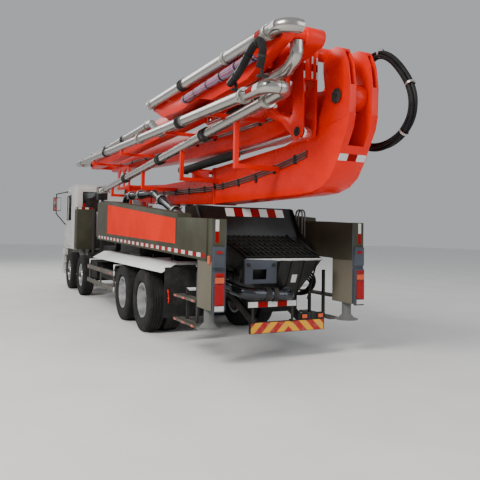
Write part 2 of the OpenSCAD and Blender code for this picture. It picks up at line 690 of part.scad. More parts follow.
// Rear swing arm with its post; the arm turns about an upright pin.
module arm(s) {
    at_truck() color(olive) side(s) difference() {
        union() {
            plate(arm_outline, arm_in_y, arm_out_y);
            block([post_back, arm_in_y, 760], [post_back + post_len, arm_out_y - 20, 1930]);
            // Rear lamps: housing with four lenses, and the marker housing above
            block([post_back - 35, arm_in_y + 30, 740], [post_back + 1, arm_out_y - 30, 1260]);
            for (row = lamp_rows) block([post_back - 47, arm_in_y + 42, row[0]], [post_back - 34, arm_out_y - 42, row[1]]);
            block([post_back - 30, arm_in_y + 30, 1310], [post_back + 1, arm_out_y - 30, 1575]);
        }
        bar_z(arm_pivot_x, arm_mid_y, arm_pin_r + pin_gap, 1300, 2600);
        bar_z(rear_jack_x, arm_mid_y, jack_bore, 700, 1700);
    }
}

// Jack: tube, collar, cone and flat pad.
module jack(x, y, s, top) {
    at_truck() side(s) color(beige) {
        bar_z(x, y, jack_r, pad_z + 20, top);
        translate([x, y, pad_z + 12]) cylinder(r1 = 130, r2 = jack_r, h = 70, $fn = 32);
        bar_z(x, y, pad_r, pad_z, pad_z + 14, 40);
    }
}

// Front outrigger beam with the box of its leg at the end.
module front_beam(s) {
    leg_y = (front_leg_in_y + arm_out_y) / 2;
    at_truck() color(dark) side(s) difference() {
        union() {
            block([front_leg_x + beam_w / 2 * (s - 1) + 4 * s, -front_leg_in_y + 60, beam_z],
                [front_leg_x + beam_w / 2 * (s + 1) + 4 * s, front_leg_in_y + 20, beam_z + beam_h]);
            block([front_leg_x - front_leg_half, front_leg_in_y, front_leg_z], [front_leg_x + front_leg_half, arm_out_y, front_leg_top]);
            // Beacon on the leg box
            bar_z(front_leg_x, leg_y, 60, front_leg_top - 1, front_leg_top + 22);
            bar_z(front_leg_x, leg_y, 46, front_leg_top + 20, front_leg_top + 115);
        }
        bar_z(front_leg_x, leg_y, jack_bore, front_leg_z - 10, front_leg_top - 200);
    }
}

// Boom

module turret() {
    at_truck() color(boom_color) {
        bar_z(slew_x, 0, 540, rail_top + 340 + fit_gap, rail_top + 400, 48);
        difference() {
            union() {
                both_sides() {
                    plate([[slew_x - 500, rail_top + 399], [slew_x - 500, rail_top + 700], [root_x - 260, root_z - 150],
                        [root_x - 200, root_z + 60], [root_x, root_z + 200], [root_x + 150, root_z + 130], [root_x + 200, root_z],
                        [slew_x + 500, rail_top + 399]], neck_y + 10, neck_y + 70);
                }
                block([slew_x + 320, -neck_y - 11, rail_top + 399], [slew_x + 420, neck_y + 11, 2350]);
            }
            bar_y(root_x, root_z, pin_big + pin_gap, -600, 600);
        }
        bar_y(root_x, root_z, pin_big, -neck_y - 100, neck_y + 100);
        for (s = [-1, 1]) side(s) bar_y(root_x, root_z, pin_big + 30, neck_y + 69, neck_y + 100);
        // Seat of the luffing cylinder
        bar_y(luff_base.x, luff_base.z, pin_small, -neck_y - 40, neck_y + 40);
    }
}

luff_base = [slew_x + 100, 0, 1640];
luff_eye = [1800, 0, 2170];
fold_base = [300, 330, 2930];
fold_eye = [-3890, 330, 2990];

// Box of section 1, from the root eye to the nose.
module boom_1() {
    root_part = [[root_x, root_z - 150], [3000, 2410], [2000, 2360], [-850, 2252], [-850, 2740], [2000, 2790], [root_x - 300, 2960],
        [root_x, root_z + 170]];
    nose_part = [[-790, 2250], [-3600, 2260], [-3860, 2275], [-4080, 2330], [-4240, 2430], [-4360, 2600], [-4470, 2800],
        [-4560, 2960], [-4600, 3120], [-3900, 3150], [-3560, 3000], [-3200, 2930], [-790, 2860]];
    cheek = [[-3900, 3000], [-4590, 3100], [-4600, 3450], [-4560, 3700], [-4470, 3880], [-4330, 3940], [-4080, 3930],
        [-4080, 3700], [-4130, 3400]];
    at_truck() color(boom_color) difference() {
        union() {
            plate(root_part, -neck_y, neck_y);
            plate(nose_part, -nose_y, nose_y);
            plate(cheek, -nose_y - 4, nose_y + 4);
            bar_y(root_x, root_z, 175, -neck_y, neck_y);
            // Flange at the step of the box
            block([step_x - 80, -nose_y - 15, 2235], [step_x, nose_y + 15, 2870]);
            // Lugs of the luffing cylinder
            both_sides() plate([[luff_eye.x - 90, luff_eye.z - 90], [luff_eye.x - 150, 2400], [luff_eye.x + 200, 2400],
                [luff_eye.x + 90, luff_eye.z - 90]], 72, 100);
            // Seat of the folding cylinders
            block([fold_base.x - 90, -neck_y + 10, 2700], [fold_base.x + 90, neck_y - 10, fold_base.z]);
            bar_y(fold_base.x, fold_base.z, 45, -430, 430);
            // Rest beside the upper sections, with two arched windows, on two arms
            difference() {
                plate([[3700, 2790], [4900, 2840], [4900, 3300], [4700, 3440], [3900, 3400], [3700, 3280]], rest_y, rest_y + 25);
                for (x = [3830, 4330]) {
                    block([x, rest_y - 10, 2900], [x + 380, rest_y + 35, 3131]);
                    bar_y(x + 190, 3130, 190, rest_y - 10, rest_y + 35, 40);
                }
            }
            for (x = [3750, 4200]) block([x, neck_y - 1, 2820], [x + 100, rest_y + 1, 2890]);
            // Rims of the side plates along the lower edge of the box
            both_sides() for (row = [[3000, 2410], [2000, 2360]])
                block([row[0] - 30, neck_y - 1, row[1] + 10], [row[0] + 30, neck_y + 14, row[1] + 330]);
        }
        // Narrow slots in the rear of both cheeks
        both_sides() {
            block([-4700, 128, 3440], [-4430, 186, 3820]);
            bar_x(157, 3820, 30, -4700, -4430, 24);
        }
        // Fork for section 2
        plate([[-3800, 3060], [-4000, 2960], [-4200, 2800], [-4700, 2750], [-4700, 4000], [-3800, 4000]], -slot_y, slot_y);
        bar_y(root_x, root_z, pin_big + pin_gap, -600, 600);
    }
    at_truck() color(dark) bar_y(tail_x, tail_z, pin_big, -nose_y - 20, nose_y + 20);
}

module boom_2() {
    box = [[tail_x, tail_z - 150], [-3700, 3110], [-2500, 3080], [500, 3180], [4500, 3400], [head_x, head_z - 150],
        [head_x, head_z + 170], [5000, 3820], [1000, 3700], [-2000, 3620], [-3300, 3640], [-3900, 3520], [tail_x, tail_z + 150]];
    wide = [[-3560, 3150], [-2500, 3080], [500, 3180], [4500, 3400], [head_x - 300, 3540], [head_x - 300, 3860],
        [5000, 3820], [1000, 3700], [-2000, 3620], [-3300, 3640], [-3560, 3600]];
    horn = [[fold_eye.x - 90, fold_eye.z - 60], [fold_eye.x - 120, fold_eye.z + 40], [fold_eye.x - 130, 3980], [fold_eye.x - 60, 4060],
        [fold_eye.x + 60, 4060], [fold_eye.x + 130, 3950], [-3350, 3620], [-3150, 3560], [-3150, 3300], [-3500, 3180],
        [fold_eye.x + 60, fold_eye.z - 90]];
    horn_window = [[-3780, 3220], [-3780, 3620], [-3640, 3700], [-3420, 3540], [-3380, 3380], [-3480, 3280], [-3700, 3200]];
    at_truck() color(boom_color) {
        difference() {
            union() {
                plate(box, -root_y, root_y);
                bar_y(tail_x, tail_z, 158, -root_y, root_y);
                plate(wide, -nose_y + 10, nose_y - 10);
                bar_y(head_x, head_z, 170, -root_y, root_y);
                bar_y(head_x, head_z, 110, -root_y, lane_3[0] - 5);
                bar_y(head_x, head_z, pin_small, lane_3[0] - 6, lane_3[1] + 20);
                // Horns: two plates on each side, joined by the top tube
                both_sides() {
                    for (y = [horn_in_y, horn_out_y]) difference() {
                        plate(horn, y, y + horn_plate);
                        plate(horn_window, y - 5, y + horn_plate + 5);
                    }
                    plate([[-3360, 3350], [-3360, 3560], [-3180, 3540], [-3180, 3350]], nose_y - 30, horn_out_y + 1);
                    plate([[fold_eye.x - 125, 3600], [fold_eye.x - 125, 3900], [fold_eye.x - 100, 3900], [fold_eye.x - 100, 3600]],
                        horn_in_y + horn_plate - 1, horn_out_y + 1);
                    bar_y(-3450, 3420, 90, horn_in_y - 40, horn_in_y + 60);
                    block([fold_eye.x - 145, fold_eye.y - 13, 3600], [fold_eye.x - 124, fold_eye.y + 13, 3900]);
                }
                // Cylinder of the next joint, on two brackets on the right
                rod([3900, -270, 3640], [5700, -270, 3700], 60, 32);
                rod([5690, -270, 3699.7], [6900, -270, 3740], 34, 24);
                for (row = [[3950, 3642], [6860, 3738]]) block([row[0] - 45, -270, row[1] - 45], [row[0] + 45, -nose_y + 12, row[1] + 45]);
                bar_y(fold_eye.x - 20, 3970, 85, -horn_out_y, horn_out_y);
                // Clip of the hoses on the right horn
                block([-3600, -472.6, 3220], [-3440, -horn_out_y - horn_plate + 1, 3440]);
            }
            bar_y(tail_x, tail_z, pin_big + pin_gap, -600, 600);
        }
    }
}

module boom_3() {
    outline = [[head_x, head_z - 110], [6800, 3600], [5000, 3560], [0, 3560], [-3000, 3600], [upper_tail_x, upper_tail_z - 100],
        [upper_tail_x, upper_tail_z + 100], [-3000, 4000], [0, 3960], [5000, 3890], [6800, 3850], [head_x, head_z + 120]];
    at_truck() color(boom_color) {
        difference() {
            union() {
                plate(outline, lane_3[0], lane_3[1]);
                bar_y(head_x, head_z, 120, lane_3[0], lane_3[1]);
                bar_y(upper_tail_x, upper_tail_z, 105, lane_3[0], lane_3[1]);
                // Cylinder of the next joint, hung under the section
                rod([-3900, 612, 3500], [-2300, 612, 3490], 52, 32);
                rod([-2310, 612, 3490], [-1500, 612, 3484], 30, 24);
                block([-3940, 580, 3500], [-3860, 645, 3770]);
                block([-1540, 580, 3484], [-1460, 645, 3620]);
            }
            bar_y(head_x, head_z, pin_small + pin_gap, 400, 800);
        }
        bar_y(upper_tail_x, upper_tail_z, 70, lane_3[1] - 1, lane_4[0] - 5);
        bar_y(upper_tail_x, upper_tail_z, pin_small - 5, lane_4[0] - 6, lane_4[1] + 2);
    }
}

module boom_4() {
    outline = [[upper_tail_x, upper_tail_z - 95], [-3700, upper_tail_z - 330], [-2600, upper_tail_z - 350], [-2100, tip_root_z - 290],
        [-1480, tip_root_z - 330], [-490, tip_root_z - 280], [tip_root_x, tip_root_z - 80], [tip_root_x, tip_root_z + 80],
        [-3500, upper_tail_z + 60], [upper_tail_x, upper_tail_z + 95]];
    at_truck() color(boom_color) {
        difference() {
            union() {
                plate(outline, lane_4[0], lane_4[1]);
                bar_y(upper_tail_x, upper_tail_z, 100, lane_4[0], lane_4[1]);
                bar_y(tip_root_x, tip_root_z, 85, lane_4[0], lane_4[1]);
                // Cylinder of the last joint, on two brackets outside the section
                rod([-4100, 1100, 3785], [-2700, 1100, 3768], 55, 32);
                rod([-2710, 1100, 3768], [-1670, 1100, 3756], 34, 24);
                for (row = [[-4050, 3784], [-1710, 3757]]) block([row[0] - 40, lane_4[1] - 1, row[1] - 42], [row[0] + 40, 1100, row[1] + 42]);
            }
            bar_y(upper_tail_x, upper_tail_z, pin_small - 5 + pin_gap, 800, 1200);
        }
        bar_y(tip_root_x, tip_root_z, 40, lane_5[0] - 12, lane_4[0] + 1);
    }
}

module boom_5() {
    outline = [[tip_root_x, tip_root_z - 75], [-3900, tip_root_z - 150], [-3950, tip_root_z - 70], [-3900, tip_root_z - 10],
        [tip_root_x, tip_root_z + 75]];
    at_truck() color(boom_color) difference() {
        union() {
            plate(outline, lane_5[0], lane_5[1]);
            bar_y(tip_root_x, tip_root_z, 80, lane_5[0], lane_5[1]);
            rod([tip_root_x - 200, (lane_5[0] + lane_5[1]) / 2, tip_root_z - 210],
                [-3850, (lane_5[0] + lane_5[1]) / 2, tip_root_z - 230], 50);
            for (x = [-3600, -2400, -1200, -300])
                block([x - 20, lane_5[0] + 20, tip_root_z - 220], [x + 20, lane_5[1] - 20, tip_root_z - 100]);
        }
        bar_y(tip_root_x, tip_root_z, 40 + pin_gap, 600, 950);
    }
}

// Hoses in one loop round the tail, on the right of the nose.
module boom_hoses() {
    at_truck() color(rubber) tube_along(hose_route, hose_r, 10);
}

module luff_barrel() {
    d = luff_eye - luff_base;
    reach = norm(d);
    at_truck() color(dark) difference() {
        union() {
            bar_y(luff_base.x, luff_base.z, 105, -100, 100);
            rod(luff_base, luff_base + d * (reach - 330) / reach, 105, 32);
        }
        bar_y(luff_base.x, luff_base.z, pin_small + pin_gap, -200, 200);
        rod(luff_base + d * 300 / reach, luff_base + d * (reach - 300) / reach, 66 + fit_gap, 32);
    }
}

module luff_rod() {
    d = luff_eye - luff_base;
    reach = norm(d);
    at_truck() color("silver") {
        rod(luff_base + d * 420 / reach, luff_eye, 66, 32);
        bar_y(luff_eye.x, luff_eye.z, 85, -67, 67);
    }
}

module fold_barrels() {
    d = fold_eye - fold_base;
    reach = norm(d);
    at_truck() color(dark) both_sides() difference() {
        union() {
            bar_y(fold_base.x, fold_base.z, 75, fold_base.y - 70, fold_base.y + 70);
            rod(fold_base, fold_base + d * 2280 / reach, 72, 32);
        }
        bar_y(fold_base.x, fold_base.z, 45 + pin_gap, 200, 500);
        rod(fold_base + d * 200 / reach, fold_base + d * 2300 / reach, 42 + fit_gap, 32);
    }
}

module fold_rods() {
    d = fold_eye - fold_base;
    reach = norm(d);
    at_truck() color("silver") both_sides() {
        rod(fold_base + d * 1000 / reach, fold_eye, 42, 32);
        bar_y(fold_eye.x, fold_eye.z, 75, fold_eye.y - 55, fold_eye.y + 55);
    }
}

// Delivery pipes

module pipes_1() {
    start = [root_x, pipe_low_y, root_z];
    finish = [tail_x, pipe_low_y, tail_z];
    d = finish - start;
    at_truck() color(steel) {
        pipe_run([start + [0, ring_y - pipe_low_y - 4, 0], start, finish, finish + [0, ring_y - pipe_low_y - 4, 0]], pipe_r, 120);
        rings(start, finish, [0.04, 0.25, 0.51, 0.74, 0.95], pipe_r + ring_t);
        for (f = [0.12, 0.4, 0.64, 0.86]) {
            at = start + d * f;
            block([at.x - 30, at.x > step_x ? neck_y : nose_y, 2600], [at.x + 30, pipe_low_y + 30, 2660]);
            block([at.x - 30, pipe_low_y - 30, 2600], [at.x + 30, pipe_low_y + 30, at.z - 40]);
        }
    }
}

module pipes_2() {
    start = [tail_x, pipe_out_y, tail_z];
    finish = [head_x, pipe_out_y, head_z];
    d = finish - start;
    at_truck() color(steel) {
        pipe_run([start + [0, ring_y - pipe_out_y + 4, 0], start, finish, finish + [0, ring_y - pipe_out_y + 4, 0]], pipe_r, 120);
        rings(start, finish, [0.05, 0.23, 0.43, 0.67, 0.94], pipe_r + ring_t);
        // Brackets: place along the pipe, depth of the arm under its centre
        for (row = [[0.15, 62], [0.3, 100], [0.55, 190], [0.8, 190]]) {
            at = start + d * row[0];
            block([at.x - 30, nose_y - 10, at.z - row[1]], [at.x + 30, pipe_out_y + 30, at.z - row[1] + 50]);
            block([at.x - 30, pipe_out_y - 30, at.z - row[1]], [at.x + 30, pipe_out_y + 30, at.z - 10]);
        }
    }
}

module pipes_3() {
    high_z = 3850;
    low_z = 3590;
    at_truck() color(steel) {
        pipe_run([[head_x, ring_y - 4, head_z], [head_x, pipe_low_y, head_z], [head_x - 700, pipe_low_y, high_z],
            [750, pipe_low_y, high_z], [350, pipe_between_y, low_z], [-4250, pipe_between_y, low_z],
            [upper_tail_x, pipe_between_y, low_z + 100], [upper_tail_x, pipe_between_y, upper_tail_z - 73]], pipe_r, 120);
        rings([-4250, pipe_between_y, low_z], [350, pipe_between_y, low_z], [0.1, 0.35, 0.68, 0.9], pipe_r + ring_thin);
        rings([750, pipe_low_y, high_z], [head_x - 700, pipe_low_y, high_z], [0.05, 0.35, 0.65, 0.94], pipe_r + ring_t);
        for (x = [-3300, -1800, -300]) block([x - 30, lane_3[1], low_z + 10], [x + 30, pipe_between_y - 20, low_z + 50]);
        for (x = [1500, 3500, 5500]) block([x - 30, lane_3[1], high_z - 90], [x + 30, pipe_low_y, high_z - 50]);
    }
}

module pipes_4() {
    at_truck() color(steel) {
        // The pipe runs past the tail and bends inwards behind it
        pipe_run([[upper_tail_x - 235, lane_4[0] + 5, upper_tail_z], [upper_tail_x - 235, pipe_out_y, upper_tail_z],
            [tip_root_x, pipe_out_y, tip_root_z + 20]], pipe_r, 170);
        rings([upper_tail_x - 235, pipe_out_y, upper_tail_z], [tip_root_x, pipe_out_y, tip_root_z + 20], [0.07, 0.3, 0.62, 0.97], pipe_r + ring_thin);
        rise = (tip_root_z + 20 - upper_tail_z) / (tip_root_x - upper_tail_x + 235);
        for (x = [-3600, -2200, -800]) {
            z = upper_tail_z + (x - upper_tail_x + 235) * rise - 60;
            block([x - 30, lane_4[1], z], [x + 30, pipe_out_y, z + 30]);
        }
    }
}

// Concrete pump

module pump() {
    at_truck() color(dark) {
        both_sides() {
            bar_x(190, 1480, 130, -900, 2000);
            bar_x(190, 1480, 115, hopper_front_x - 5, -1490);
        }
        block([300, -340, 1300], [900, 340, 1700]);
        both_sides() bar_x(190, 1480, 75, 850, 2600);
        block([-1500, -380, rail_top + 140], [-850, 380, 1660]);
        for (x = [700, 1900]) block([x - 50, -380, rail_top + 140], [x + 50, 380, 1480]);
        block([900, -940, 1300], [2400, -460, 1900]);
        bar_z(1300, -700, 75, 1899, 1950);
        bar_z(1900, -700, 110, 1899, 1920);
        block([1060, 500, 1899], [2640, 920, 1915]);
        block([1100, 480, 1300], [2600, 940, 1900]);
        for (x = [1300, 2200]) both_sides() block([x - 40, rail_inner + 10, rail_top + 140], [x + 40, 600, 1301]);
    }
}

grate_x = hopper_front_x - 50;
grate_z = hopper_front_z + 5;
hopper_top = [[hopper_back_x, 620], [hopper_front_x, 850], [hopper_front_x, -850], [hopper_back_x, -620]];

// Solid of the hopper, drawn in by w all round.
module hopper_body(w, lift) {
    hull() {
        for (p = hopper_top) {
            z = p.x == hopper_back_x ? hopper_back_z : hopper_front_z;
            translate([p.x + (p.x == hopper_back_x ? w : -w), p.y - sign(p.y) * w, z + lift - 4]) cylinder(r = 2, h = 4, $fn = 8);
        }
        for (p = [[-2650, 260], [-2050, 300], [-2050, -300], [-2650, -260]])
            translate([p.x + (p.x == -2650 ? w : -w), p.y - sign(p.y) * w, 780 + w]) cylinder(r = 2, h = 4, $fn = 8);
    }
}

module hopper() {
    at_truck() color(dark) {
        difference() {
            hopper_body(0, 0);
            hopper_body(hopper_wall, 40);
        }
        // Splash board behind the hopper
        plate([[hopper_front_x + 4, 1605], [hopper_front_x + 16, 1605], [hopper_front_x + 16, hopper_front_z + 3],
            [splash_top_x + 10, splash_z - 6], [splash_top_x, splash_z], [hopper_front_x + 4, hopper_front_z + 10]], -850, 850);
        block([hopper_front_x - 4, -850, hopper_front_z - 25], [hopper_front_x + 5, 850, hopper_front_z]);
        // Side wings of the splash board
        both_sides() plate([[hopper_front_x + 6, hopper_front_z - 60], [hopper_front_x + 6, hopper_front_z + 6],
            [splash_top_x, splash_z - 1], [splash_top_x - 75, splash_z - 15], [hopper_front_x - 60, 1790],
            [hopper_front_x - 330, 1590], [hopper_front_x - 330, 1560]], 838, 850);
        // Lip and ribs on the rear, plate with a window on the left, and ends of the agitator shaft
        block([hopper_back_x - 14, -634, 1382], [hopper_back_x + 6, 634, 1403]);
        for (y = [-540, -330, -120, 70]) plate([[hopper_back_x - 12, 1384], [-2668, 800], [-2640, 800], [hopper_back_x + 14, 1388]], y - 5, y + 5);
        difference() {
            block([hopper_back_x - 16, 140, 1070], [hopper_back_x - 1, 630, 1385]);
            block([hopper_back_x - 20, 296, 1127], [hopper_back_x + 5, 510, 1264]);
        }
        for (y = [146, 612]) plate([[hopper_back_x - 2, 1080], [hopper_back_x - 2, 1384], [hopper_back_x + 14, 1384], [-2745, 1080]], y, y + 12);
        for (y = [190, 580]) bar_x(y, 1325, 26, hopper_back_x - 40, hopper_back_x - 10);
        both_sides() {
            bar_y(-2350, 1150, 90, 380, 560);
            bar_y(-2350, 1150, 62, 559, 640);
        }
        // Seats on the ends of the rails, outlet below and flange of the delivery cylinders
        both_sides() block([-2030, rail_inner, 920], [-frame_tail, rail_y, 1040]);
        bar_x(-100, 900, 110, -2800, -2690);
        plate([[-1960, 1350], [-1916, 1620], [hopper_front_x - 5, 1620], [hopper_front_x - 5, 1350]], -380, 380);
        // Ears of the grate's hinge, and the ledge under its rear end
        both_sides() difference() {
            plate([[hopper_front_x - 3, hopper_front_z - 20], [hopper_front_x - 3, hopper_front_z + 40],
                [grate_x - 24, hopper_front_z + 40], [grate_x - 24, hopper_front_z - 10]], 606, 622);
            bar_y(grate_x, grate_z, 12 + fit_gap, 600, 630);
        }
        block([hopper_back_x + 2, -600, 1375], [hopper_back_x + 55, 600, 1409.5]);
    }
}

module grate() {
    drop = hopper_front_z - hopper_back_z;
    run = hopper_front_x - hopper_back_x;
    tilt = atan2(drop, run);
    bar_count = 15;
    length = run / cos(tilt) - 90;
    at_truck() color(dark) translate([grate_x, 0, grate_z]) rotate([0, -tilt, 0]) {
        bar_y(0, 0, 12, -620, 620, 20);
        for (i = [0 : bar_count - 1]) translate([-length, -588 + i * 84 - 6, -22]) cube([length, 12, 44]);
        for (x = [0 : 5]) translate([-length + x * (length - 16) / 5, -594, -10]) cube([16, 1188, 20]);
    }
}

module feed_pipe() {
    y = 750;
    at_truck() color(steel) {
        // Delivery bend under the hopper, and the line to the pedestal
        pipe_run([[-2800, -100, 900], [-2960, -100, 900], [-2900, 660, 950], [-2300, y, 1060], [-1750, y, 1200],
            [-1500, y, 1750], [-730, y, 2020], [830, y, 2500], [2900, y, 2560], [3060, y, 2300], [3060, y, 1450],
            [3300, 650, 1250], [slew_x - 700, 650, 1250]], pipe_r, 260);
        rings([-2960, -100, 900], [-2900, 660, 950], [0.37, 0.5], pipe_r + ring_t);
        rings([-730, y, 2020], [830, y, 2500], [0.2, 0.7], pipe_r + ring_t);
        rings([830, y, 2500], [2900, y, 2560], [0.45, 0.8], pipe_r + ring_t);
    }
}

chassis();
axles();
engine();
knuckle(axle_1, 1);  // knuckle_1l
knuckle(axle_1, -1);  // knuckle_1r
knuckle(axle_2, 1);  // knuckle_2l
knuckle(axle_2, -1);  // knuckle_2r
tyres(axle_1, 1, false);  // tyre_1l
tyres(axle_1, -1, false);  // tyre_1r
tyres(axle_2, 1, false);  // tyre_2l
tyres(axle_2, -1, false);  // tyre_2r
tyres(axle_3, 1, true);  // tyre_3l
tyres(axle_3, -1, true);  // tyre_3r
tyres(axle_4, 1, true);  // tyre_4l
tyres(axle_4, -1, true);  // tyre_4r
front_rim(axle_1, 1);  // rim_1l
front_rim(axle_1, -1);  // rim_1r
front_rim(axle_2, 1);  // rim_2l
front_rim(axle_2, -1);  // rim_2r
twin_rim(axle_3, 1);  // rim_3l
twin_rim(axle_3, -1);  // rim_3r
twin_rim(axle_4, 1);  // rim_4l
twin_rim(axle_4, -1);  // rim_4r
cab();
cab_glass();
door(1);  // door_l
door(-1);  // door_r
cab_inside();
front_end();
mirrors();
tanks();
guards();
outrigger_frame();
arm(1);  // arm_l
arm(-1);  // arm_r
jack(rear_jack_x, arm_mid_y, 1, 1690);  // jack_rl
jack(rear_jack_x, arm_mid_y, -1, 1690);  // jack_rr
front_beam(1);  // beam_fl
front_beam(-1);  // beam_fr
jack(front_leg_x, (front_leg_in_y + arm_out_y) / 2, 1, 2200);  // jack_fl
jack(front_leg_x, (front_leg_in_y + arm_out_y) / 2, -1, 2200);  // jack_fr
turret();
boom_1();
boom_2();
boom_3();
boom_4();
boom_5();
luff_barrel();
luff_rod();
fold_barrels();
fold_rods();
pipes_1();
pipes_2();
pipes_3();
pipes_4();
pump();
hopper();
grate();
feed_pipe();
boom_hoses();
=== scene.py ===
"""Concrete pump truck: finishes, trim, lamps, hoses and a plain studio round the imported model.

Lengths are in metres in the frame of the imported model: X forward, Y to the left, Z up, with the ground at Z = 0.
Stations are set out from the last axle, as in the part's source, and at() moves them by MIDDLE into the frame.
"""

from __future__ import annotations

import json
import logging
import math
from dataclasses import dataclass
from enum import Enum
from typing import Iterable, Sequence

import bmesh
import bpy
from mathutils import Matrix, Vector

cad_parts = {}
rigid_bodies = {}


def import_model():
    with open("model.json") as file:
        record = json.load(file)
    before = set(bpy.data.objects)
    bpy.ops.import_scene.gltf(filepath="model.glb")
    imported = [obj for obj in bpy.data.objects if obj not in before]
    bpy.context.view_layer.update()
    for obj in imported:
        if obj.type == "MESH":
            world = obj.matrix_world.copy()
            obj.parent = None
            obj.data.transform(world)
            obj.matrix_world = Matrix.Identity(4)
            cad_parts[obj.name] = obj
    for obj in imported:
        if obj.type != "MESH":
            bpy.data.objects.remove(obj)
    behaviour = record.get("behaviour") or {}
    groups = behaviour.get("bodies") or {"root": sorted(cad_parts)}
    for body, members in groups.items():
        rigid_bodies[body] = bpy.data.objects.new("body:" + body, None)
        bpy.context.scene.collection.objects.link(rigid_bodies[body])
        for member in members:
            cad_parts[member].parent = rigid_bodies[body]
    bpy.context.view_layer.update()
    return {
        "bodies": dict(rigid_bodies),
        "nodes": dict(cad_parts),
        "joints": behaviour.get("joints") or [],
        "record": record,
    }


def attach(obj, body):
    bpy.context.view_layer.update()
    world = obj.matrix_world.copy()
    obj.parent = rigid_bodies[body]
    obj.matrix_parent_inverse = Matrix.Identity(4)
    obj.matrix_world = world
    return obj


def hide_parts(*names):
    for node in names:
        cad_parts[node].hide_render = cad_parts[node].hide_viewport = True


log = logging.getLogger("pump_truck")

MIDDLE = 2.225
LOOK_START = "look_"
# An edge that turns by more than SHARP is sharp and may be rounded; points closer than MERGE become one.
SHARP = math.radians(32.0)
MERGE = 0.00001
# Width and faces of the rounded edges of small fittings.
FINE = (0.001, 1)
AHEAD = Vector((1.0, 0.0, 0.0))
BACK = Vector((-1.0, 0.0, 0.0))
LEFT = Vector((0.0, 1.0, 0.0))
UP = Vector((0.0, 0.0, 1.0))
SIDES = (("l", 1), ("r", -1))
Point = tuple[float, float, float]
Colour = tuple[float, float, float]
Pairs = tuple[tuple[float, float], ...]
Row = tuple[float, ...]
Box = tuple[Point, Point]
# A bar's two ends, radius, number of sides and taper.
Bar = tuple[Point, Point, float, int, float]
Socket = bpy.types.NodeSocket
Inputs = dict[str | int, Socket | Colour | float]


def at(x: float, y: float, z: float) -> Vector:
    """Point set out from the last axle, in the frame of the model."""
    return Vector((x - MIDDLE, y, z))


def placed(name: str, data: bpy.types.ID) -> bpy.types.Object:
    """Object of a mesh, curve, light or camera, linked into the scene."""
    item = bpy.data.objects.new(name, data)
    bpy.context.scene.collection.objects.link(item)
    return item


# Materials


class Nodes:
    """A material's node tree, with short calls for the nodes that the finishes share."""

    def __init__(self, name: str) -> None:
        """Makes an empty material.

        Args:
            name: the material's name.
        """
        self.material = bpy.data.materials.new(LOOK_START + name)
        self.material.use_nodes = True
        self.tree = self.material.node_tree
        self.shader = self.tree.nodes["Principled BSDF"]
        self.place = self.tree.nodes.new("ShaderNodeTexCoord").outputs["Object"]

    def fill(self, node: bpy.types.Node, inputs: Inputs) -> None:
        """Fills sockets of a node.

        Args:
            node: the node.
            inputs: what goes into each socket: another node's socket, a colour, a vector or a number.
        """
        for name, thing in inputs.items():
            socket = node.inputs[name]
            if isinstance(thing, Socket):
                self.tree.links.new(thing, socket)
            elif isinstance(thing, tuple) and socket.type == "RGBA":
                socket.default_value = (*thing, 1.0)
            else:
                socket.default_value = thing

    def new(self, kind: str, inputs: Inputs, **settings: str) -> bpy.types.Node:
        """Adds a node.

        Args:
            kind: its type, without the words ShaderNode.
            inputs: what goes into its sockets, as in fill().
            settings: its other settings.

        Returns:
            The node.
        """
        node = self.tree.nodes.new(f"ShaderNode{kind}")
        for name, setting in settings.items():
            setattr(node, name, setting)
        self.fill(node, inputs)
        return node

    def set(self, **values: Socket | Colour | float) -> None:
        """Fills sockets of the shader, with underscores for the spaces in their names."""
        self.fill(self.shader, {name.replace("_", " "): value for name, value in values.items()})

    def stretched(self, scale: Point) -> Socket:
        """Object coordinates, stretched along the axes."""
        return self.new("Mapping", {"Vector": self.place, "Scale": scale}).outputs["Vector"]

    def noise(self, scale: float, detail: float = 4.0, rough: float = 0.55, where: Socket | None = None) -> Socket:
        """Noise between 0 and 1, with about scale waves to a metre, in the object's or other coordinates."""
        inputs = {"Scale": scale, "Detail": detail, "Roughness": rough, "Vector": where or self.place}
        return self.new("TexNoise", inputs).outputs["Fac"]

    def wave(self, scale: float, way: str, distortion: float = 0.0) -> Socket:
        """Straight bands that cross an axis, more or less crumpled."""
        inputs = {"Scale": scale, "Distortion": distortion, "Vector": self.place}
        return self.new("TexWave", inputs, bands_direction=way).outputs["Fac"]

    def ramp(self, value: Socket, low: float, high: float, to_low: float = 0.0, to_high: float = 1.0) -> Socket:
        """Value from low to high, stretched and clamped to a new range."""
        inputs = {"Value": value, "From Min": low, "From Max": high, "To Min": to_low, "To Max": to_high}
        return self.new("MapRange", inputs, interpolation_type="SMOOTHSTEP").outputs["Result"]

    def mix(self, share: Socket | float, one: Socket | Colour, two: Socket | Colour) -> Socket:
        """Colour between two colours, with a share of the second."""
        return self.new("Mix", {0: share, 6: one, 7: two}, data_type="RGBA").outputs[2]

    def math(self, how: str, one: Socket, two: Socket | float) -> Socket:
        """Sum, product or the like of two values."""
        return self.new("Math", {0: one, 1: two}, operation=how).outputs[0]

    def height(self) -> Socket:
        """Height above the ground at rest."""
        return self.new("SeparateXYZ", {0: self.place}).outputs["Z"]

    def bump(self, value: Socket, depth: float, strength: float = 1.0) -> None:
        """Bump from a value, with its depth in metres."""
        node = self.new("Bump", {"Strength": strength, "Distance": depth, "Height": value})
        self.set(Normal=node.outputs["Normal"])


